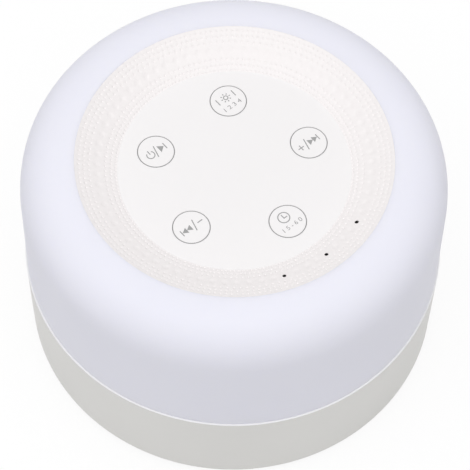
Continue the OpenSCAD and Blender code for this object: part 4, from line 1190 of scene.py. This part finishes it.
# Strokes of each key's print: the method that draws it and its values in millimetres and degrees.
PRINTS = {
    "power": (
        (Print.arc, -1.64, 0.0, 1.02, 128, 412), (Print.bar, -1.64, 0.85, 1.25),
        (Print.bar, 0.0, 0.0, 3.4, SLANT), (Print.arrow, 1.75, 0.05, 1.5, 2.2), (Print.bar, 2.8, -0.05, 1.9),
    ),
    "lamp": (
        (Print.arc, *LAMP, 0.56),
        *((Print.bar, LAMP[0] + RAY * math.sin(math.radians(lean)),
           LAMP[1] + RAY * math.cos(math.radians(lean)), 0.42, lean) for lean in range(0, FULL_TURN, 45)),
        (Print.bar, -2.38, 1.2, 1.95), (Print.bar, 2.56, 1.05, 1.95),
        (Print.digits, "1234", 0.05, -2.3, 5.2),
    ),
    "next": (
        (Print.plus, -2.5, 0.0, 1.7), (Print.bar, -0.8, 0.0, 3.3, SLANT), (Print.arrow, 0.65, 0.0, 1.4, 1.75),
        (Print.arrow, 2.0, 0.0, 1.4, 1.75), (Print.bar, 2.82, -0.1, 1.8),
    ),
    "timer": (
        (Print.arc, -0.05, 1.42, 1.47),
        (Print.shape, ((-0.25, 1.1), (0.9, 1.1), (0.9, 1.37), (0.02, 1.37), (0.02, 2.4), (-0.25, 2.4))),
        (Print.digits, "15-60", 0.25, -2.1, 5.8),
    ),
    "previous": (
        (Print.bar, -2.9, 0.0, 1.8), (Print.arrow, -2.05, 0.0, 1.4, 1.75, -1),
        (Print.arrow, -0.7, 0.0, 1.4, 1.75, -1), (Print.bar, 0.95, 0.0, 3.3, SLANT),
        (Print.bar, 2.7, 0.0, 1.5, 90),
    ),
}


class SOUND_MACHINE_OT_print(bpy.types.Operator):
    """Prints a ring and an icon on each key"""
    bl_idname = "sound_machine.print"
    bl_label = "Key print"

    def execute(self, context):
        k = settings().keys
        material = printed("key_ink", k.colour)
        top = cap_high.z
        sunk = k.print_height / 2
        corner = (k.cap_radius - k.edge, top - k.edge)
        flat = corner[0] - k.ring_width
        ring = (
            [(flat, top - sunk), (flat, top + k.print_height)]
            + arc(corner, k.edge + k.print_height, 90, 8, 5)
            + arc(corner, k.edge - sunk, 8, 90, 5)
        )
        for index, key in enumerate(KEYS):
            ink = Print(index, k, top - sunk, top + k.print_height)
            for draw, *values in PRINTS[key]:
                draw(ink, *values)
            lathe(ink.bm, ring, 96, closed=True, centre=key_place(index))
            piece = as_object(f"{key}_key_print", ink.bm)
            smooth(piece, 30)
            hand_over(piece, key, "panel_plastic", material=material)
        return {"FINISHED"}


# ---- Base ----

RIBS = 8
RIB_HALF = 1 * MM
GASKET_GAP = 0.005 * MM
GASKET_EDGE = 0.03 * MM
FLARE_START = 0.6 * MM  # behind the wall's face, where the socket's opening starts to widen
FLARE_END = 1.45 * MM  # how much wider the opening's cut is at its outer end
CUT_IN = 4 * MM  # reach of the openings' cuts behind the wall


def base_outline(b):
    """Closed outline of the base's wall, its lip and its ledge."""
    low, high, top = base_low.z, base_high.z, b.seam_height
    foot = b.radius - b.draft
    inner = foot - b.wall
    lip = inner + b.lip
    cover_open = cover_high.x + b.cover_gap
    ledge = cover_open - b.ledge
    cover_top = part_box("grille_cloth")[0].z  # the cloth lies on the cover's inner face
    ledge_top = cover_top + b.ledge_thickness
    return (
        [(cover_open, low)]
        + arc((foot - b.rounding, low + b.rounding), b.rounding, -90, 0, 10)
        + line_points((foot, low + b.rounding), (b.radius, top), 10)[1:]
        + [(b.radius, top), (lip, top), (lip, high), (inner, high), (inner, ledge_top),
           (ledge, ledge_top), (ledge, cover_top), (cover_open, cover_top)]
    )


def gasket_outline(b):
    """Closed outline of the thin gasket that shows as a bright line under the shade."""
    low, inner = b.seam_height + GASKET_GAP, b.radius - b.gasket_width
    return [(inner, low), (b.radius, low), (b.radius, low + GASKET_EDGE), (inner, low + b.gasket_rise)]


class SOUND_MACHINE_OT_base(bpy.types.Operator):
    """Makes the lower housing with its ribs and the openings for the charging socket and the light guide"""
    bl_idname = "sound_machine.base"
    bl_label = "Base"

    def execute(self, context):
        b = settings().base
        piece = build("base_housing", lambda bm: lathe(bm, base_outline(b), closed=True))
        inner = b.radius - b.draft - b.wall
        near, far = inner - CUT_IN, b.radius + MM

        def rib(bm):
            corners = box_corners(inner - b.rib_reach, inner + b.wall / 2, -RIB_HALF, RIB_HALF)
            prism(bm, corners, b.rib_top - b.rib_height, b.rib_top)

        def stadium(grow):
            """Outline (x, z) of the socket's opening with round ends, wider by grow on each side."""
            width, height = b.socket_width + 2 * grow, b.socket_height + 2 * grow
            right = arc((width / 2 - height / 2, 0), height / 2, -90, 90, 16)
            return right + [(-x, -z) for x, z in right]

        def socket_opening(bm):
            """Straight opening that flares a little at the outside."""
            low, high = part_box("charging_socket")
            middle = (low.z + high.z) / 2
            face = math.sqrt(b.radius ** 2 - (b.socket_width / 2) ** 2)
            stations = ((near, 0), (face - FLARE_START, 0), (far, FLARE_END))
            loft(bm, [[(x, y, middle + z) for x, z in stadium(grow)] for y, grow in stations])

        def guide_opening(bm):
            low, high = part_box("charge_light_guide")
            middle, radius = (low.z + high.z) / 2, (high.z - low.z) / 2
            round_bar(bm, radius + b.guide_gap, near, far, turns=40)
            turn = Matrix.Rotation(-math.pi / 2, 4, "X")
            bm.transform(Matrix.Translation((b.guide_across, 0, middle)) @ turn)

        add_ring(piece, rib, "UNION", RIBS, start=FULL_TURN / RIBS / 2)
        join(piece, build("tool", socket_opening), "DIFFERENCE")
        join(piece, build("tool", guide_opening), "DIFFERENCE")
        smooth(piece)
        hand_over(piece, "housing", "base_plastic", "base_shell")
        gasket = build("seam_gasket", lambda bm: lathe(bm, gasket_outline(b), closed=True))
        smooth(gasket, 20)
        white = moulded("white_gasket", linear(246, 246, 247), linear(242, 242, 244), 0.4)
        hand_over(gasket, "housing", "panel_plastic", material=white)
        return {"FINISHED"}


# ---- Underside ----

def merged_copy(node, name):
    """Copy of a CAD node's mesh with its loose triangles joined."""
    bm = bmesh.new()
    bm.from_mesh(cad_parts[node].data)
    bmesh.ops.remove_doubles(bm, verts=bm.verts, dist=WELD)
    bmesh.ops.dissolve_limit(bm, angle_limit=math.radians(0.05), verts=bm.verts, edges=bm.edges)
    mesh = bpy.data.meshes.new(name)
    bm.to_mesh(mesh)
    bm.free()
    return place(name, mesh)


# A foot: its rim's rounding, and its dish as (share of the foot's radius, height).
FOOT_RIM = 0.6 * MM
FOOT_DISH = ((0, 0.25 * MM), (0.62, 0.2 * MM), (0.74, 0))

# A cover screw.
HEAD_RADIUS = 2.7 * MM
HEAD_HEIGHT = 2.0 * MM
SHANK_RADIUS = 1.2 * MM
THREAD_PITCH = 0.8 * MM
THREAD_DEPTH = 0.14 * MM
PLAIN_SHANK = 1 * MM  # length without a thread under the head, and at least that at the tip
TIP_RADIUS = 0.5 * MM
TIP_LENGTH = 0.6 * MM
# Its head as (share of the head's radius, height), and its recess.
DOME = ((0, 0), (0.6, 0.06 * MM), (0.88, 0.35 * MM), (1, 0.9 * MM))
RECESS_DEPTH = 1.2 * MM
RECESS_REACH = 0.6 * HEAD_RADIUS
RECESS_HALF = 0.16 * HEAD_RADIUS


class SOUND_MACHINE_OT_underside(bpy.types.Operator):
    """Makes the bottom cover with its chamfered grille, the feet and the cover's screws"""
    bl_idname = "sound_machine.underside"
    bl_label = "Underside"

    def execute(self, context):
        b = settings().base
        self.cover(b)
        self.feet(b)
        self.screws()
        return {"FINISHED"}

    def cover(self, b):
        """Cover with a chamfer around each hole of its grille."""
        piece = merged_copy("bottom_cover", "speaker_cover")
        low, high = cover_low.z - b.chamfer, cover_low.z + b.chamfer
        outline = [(0, low), (b.grille_hole + 2 * b.chamfer, low), (b.grille_hole, high), (0, high)]
        holes = build("tool", lambda bm: lathe(bm, outline, 24))
        with_nodes(holes, grille_tree(), {
            "Rings": b.grille_rings, "Pitch": b.grille_pitch, "Material": finishes["base_plastic"],
        })
        join(piece, holes, "DIFFERENCE")
        smooth(piece)
        hand_over(piece, "housing", "base_plastic", "bottom_cover")

    def feet(self, b):
        """Rubber feet with a rounded rim and a shallow suction dish."""
        low, high = foot_low.z, foot_high.z
        outline = (
            [(b.foot_radius * part, low + rise) for part, rise in FOOT_DISH]
            + arc((b.foot_radius - FOOT_RIM, low + FOOT_RIM), FOOT_RIM, -90, 0, 6)
            + [(b.foot_radius, high), (0, high)]
        )
        piece = build("rubber_feet", lambda bm: lathe(bm, outline, 64))
        around(piece, CORNERS, b.foot_circle, CORNER_ANGLE)
        smooth(piece)
        hand_over(piece, "housing", "foot_rubber", "foot_pads")

    def screws(self):
        """Cover screws with a domed head, a cross recess and a threaded shank."""
        low, high = screw_low.z, screw_high.z
        seat = low + HEAD_HEIGHT
        core = SHANK_RADIUS - THREAD_DEPTH
        thread = seat + PLAIN_SHANK
        outline = [(HEAD_RADIUS * part, low + rise) for part, rise in DOME]
        outline += [(HEAD_RADIUS, seat), (core, seat), (core, thread)]
        for i in range(int((high - seat - 2 * PLAIN_SHANK) / THREAD_PITCH)):
            for radius, part in ((core, 0), (SHANK_RADIUS, 0.3), (SHANK_RADIUS, 0.4), (core, 0.7)):
                outline.append((radius, thread + (i + part) * THREAD_PITCH))
        outline += [(core, high - TIP_LENGTH), (TIP_RADIUS, high), (0, high)]

        def recess(bm):
            prism(bm, cross(RECESS_REACH, RECESS_HALF), low - MM, low + RECESS_DEPTH)

        across, along = screw_high.x - HEAD_RADIUS, screw_high.y - HEAD_RADIUS
        lean = math.degrees(math.atan2(along, across))
        pairs = []
        for start in (-lean, 180 - lean):
            pair = build("cover_screw_pair", lambda bm: lathe(bm, outline, 40))
            join(pair, build("tool", recess), "DIFFERENCE")
            pairs.append(around(pair, 2, math.hypot(across, along), start, 2 * lean))
        piece = gather("cover_screw_set", pairs)
        smooth(piece)
        hand_over(piece, "housing", "screw_steel", "cover_screws")


# ---- Charging socket ----

CONTACTS = 6
CONTACT_HALF = 0.15 * MM
CONTACT_RISE = 0.02 * MM
# Bare parts of the tongue beside the contacts, behind them and at the mouth.
CONTACT_SIDE = 0.6 * MM
CONTACT_BACK = 0.6 * MM
CONTACT_FRONT = 0.4 * MM


class SOUND_MACHINE_OT_socket(bpy.types.Operator):
    """Makes the smooth socket shell, its contacts and the light guide"""
    bl_idname = "sound_machine.socket"
    bl_label = "Charging socket"

    def execute(self, context):
        for node, name, slot in (
            ("charging_socket", "socket_shell", "socket_steel"),
            ("charge_light_guide", "charge_guide", "clear_plastic"),
        ):
            piece = merged_copy(node, name)
            smooth(piece)
            hand_over(piece, "housing", slot, node)
        low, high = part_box("socket_tongue")
        pitch = (high.x - low.x - 2 * CONTACT_SIDE) / (CONTACTS - 1)

        def contacts(bm):
            for bottom, top in ((high.z, high.z + CONTACT_RISE), (low.z - CONTACT_RISE, low.z)):
                for i in range(CONTACTS):
                    x = low.x + CONTACT_SIDE + i * pitch
                    prism(bm, box_corners(x - CONTACT_HALF, x + CONTACT_HALF, low.y + CONTACT_BACK,
                                          high.y - CONTACT_FRONT), bottom, top)

        piece = build("socket_contacts", contacts)
        gold = metal("gold_contacts", linear(226, 188, 110), linear(204, 164, 90), 0.25)
        hand_over(piece, "housing", "socket_steel", material=gold)
        return {"FINISHED"}


# ---- Speaker ----

SECTOR_TURN = 1.1  # degrees, so that no cut runs along the points of a ring


class SOUND_MACHINE_OT_speaker(bpy.types.Operator):
    """Splits the speaker's two soft rings into sectors"""
    bl_idname = "sound_machine.speaker"
    bl_label = "Speaker"

    def execute(self, context):
        s = settings().speaker
        for node, slot, inside, outside in (
            ("speaker_spider", "spider_cloth", s.spider_inside, s.spider_outside),
            ("speaker_surround", "surround_rubber", s.roll_inside, s.roll_outside),
        ):
            step = FULL_TURN / s.sectors
            for i in range(s.sectors):
                piece = self.sector(node, i, step)
                hand_over(piece, None, slot, *([node] if i == 0 else []))
                middle = i * step + SECTOR_TURN
                still = on_circle(outside * math.cos(math.radians(step / 2)), middle)
                moving = on_circle(inside, middle)
                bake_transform(piece)
        return {"FINISHED"}

    def sector(self, node, index, step):
        """One closed sector of a ring."""
        piece = merged_copy(node, f"{node}_{index + 1}")
        low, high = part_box(node)
        sides = [on_circle(2 * high.x, (index + side) * step + SECTOR_TURN) for side in (-0.5, 0.5)]
        wedge = build("tool", lambda bm: prism(bm, [(0, 0), *sides], low.z - MM, high.z + MM))
        return smooth(join(piece, wedge, "INTERSECT"))


# ---- Insides ----

class SOUND_MACHINE_OT_finishes(bpy.types.Operator):
    """Gives every part of the frame the finish of its slot"""
    bl_idname = "sound_machine.finishes"
    bl_label = "Finishes"

    def execute(self, context):
        finishes.update(make_finishes())
        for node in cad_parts.values():
            for held in node.material_slots:
                held.material = finishes[held.material.name.split(".")[0]]
        return {"FINISHED"}


# ---- Stage ----

WHITE = (1, 1, 1, 1)
SENSOR = 36  # width of the camera's sensor in millimetres
CLIP = (0.01, 20)  # nearest and farthest that the camera sees, in metres
FLOOR_MOTTLE = 0.985  # second tone of the floor, as a share of the first
FLOOR_WHITE = 1.05  # strength of the plain white that the camera sees


def away(turn, lean):
    """Direction at lean from straight above, turned about the axis from the front."""
    return Vector((
        math.sin(turn) * math.sin(lean), -math.cos(turn) * math.sin(lean), math.cos(lean),
    ))


class SOUND_MACHINE_OT_stage(bpy.types.Operator):
    """Sets the floor, the lamps, the world and the camera"""
    bl_idname = "sound_machine.stage"
    bl_label = "Stage"

    def execute(self, context):
        s = settings().stage
        self.floor(s)
        self.world(context, s)
        self.softbox(s)
        self.camera(context, s)
        context.scene.view_settings.view_transform = "Standard"
        return {"FINISHED"}

    def floor(self, s):
        half = s.floor_size / 2
        floor = build("floor", lambda bm: bm.faces.new(
            [bm.verts.new((x, y, 0)) for x, y in box_corners(-half, half, -half, half)]
        ))
        shader = Shader("white_floor")
        paint = shader.mix(shader.noise(6, 3), s.colour, [FLOOR_MOTTLE * c for c in s.colour])
        surface = shader.node("ShaderNodeBsdfDiffuse", {}, {"Color": paint})
        white = shader.node("ShaderNodeEmission", {}, {"Color": WHITE, "Strength": FLOOR_WHITE})
        seen = shader.node("ShaderNodeMixShader", {}, [s.floor_lift * shader.direct(), surface, white])
        shader.node("ShaderNodeOutputMaterial", {}, {"Surface": seen})
        floor.data.materials.append(shader.material)

    def world(self, context, s):
        world = bpy.data.worlds.new("studio")
        world.use_nodes = True
        context.scene.world = world
        graph = Graph(world.node_tree)
        graph.tree.nodes.clear()
        light, backdrop = (
            graph.node("ShaderNodeBackground", {}, {"Color": WHITE, "Strength": strength})
            for strength in (s.sky, 1.0)
        )
        mixed = graph.node("ShaderNodeMixShader", {}, [graph.direct(), light, backdrop])
        graph.node("ShaderNodeOutputWorld", {}, {"Surface": mixed})

    def softbox(self, s):
        lamp = bpy.data.lights.new("softbox", "AREA")
        lamp.size = s.softbox_size
        lamp.energy = s.softbox_power
        made = place("softbox", lamp)
        made.location = s.softbox_distance * away(s.softbox_azimuth, s.softbox_lean)
        made.rotation_euler = (-made.location).to_track_quat("-Z", "Y").to_euler()

    def camera(self, context, s):
        data = bpy.data.cameras.new("camera")
        data.sensor_width = SENSOR
        data.lens = s.lens
        data.clip_start, data.clip_end = CLIP
        made = place("camera", data)
        back = away(s.azimuth, math.pi / 2 - s.elevation)
        made.location = Vector((s.aim_x, s.aim_y, s.aim_z)) + back * s.distance
        made.rotation_mode = "QUATERNION"
        made.rotation_quaternion = (-back).to_track_quat("-Z", "Y") @ Quaternion((0, 0, 1), s.roll)
        context.scene.camera = made


# ---- Add-on ----

OPERATORS = (
    SOUND_MACHINE_OT_finishes, SOUND_MACHINE_OT_stage, SOUND_MACHINE_OT_shade, SOUND_MACHINE_OT_panel,
    SOUND_MACHINE_OT_keys, SOUND_MACHINE_OT_print, SOUND_MACHINE_OT_base, SOUND_MACHINE_OT_underside,
    SOUND_MACHINE_OT_socket, SOUND_MACHINE_OT_speaker,
)


class SOUND_MACHINE_PT_panel(bpy.types.Panel):
    """Lists the steps that dress the sound machine"""
    bl_label = "Sound Machine"
    bl_space_type = "VIEW_3D"
    bl_region_type = "UI"
    bl_category = "Sound Machine"

    def draw(self, context):
        for operator in OPERATORS:
            self.layout.operator(operator.bl_idname)


CLASSES = (
    ShadeSettings, PanelSettings, KeySettings, BaseSettings, SpeakerSettings, StageSettings,
    SoundMachineSettings, *OPERATORS, SOUND_MACHINE_PT_panel,
)


def register():
    for cls in CLASSES:
        bpy.utils.register_class(cls)
    bpy.types.Scene.sound_machine = PointerProperty(type=SoundMachineSettings)


def unregister():
    del bpy.types.Scene.sound_machine
    for cls in reversed(CLASSES):
        bpy.utils.unregister_class(cls)


def main():
    """Runs every step in order."""
    register()
    for operator in OPERATORS:
        group, step = operator.bl_idname.split(".")
        getattr(getattr(bpy.ops, group), step)()


if __name__ == "__main__":
    main()
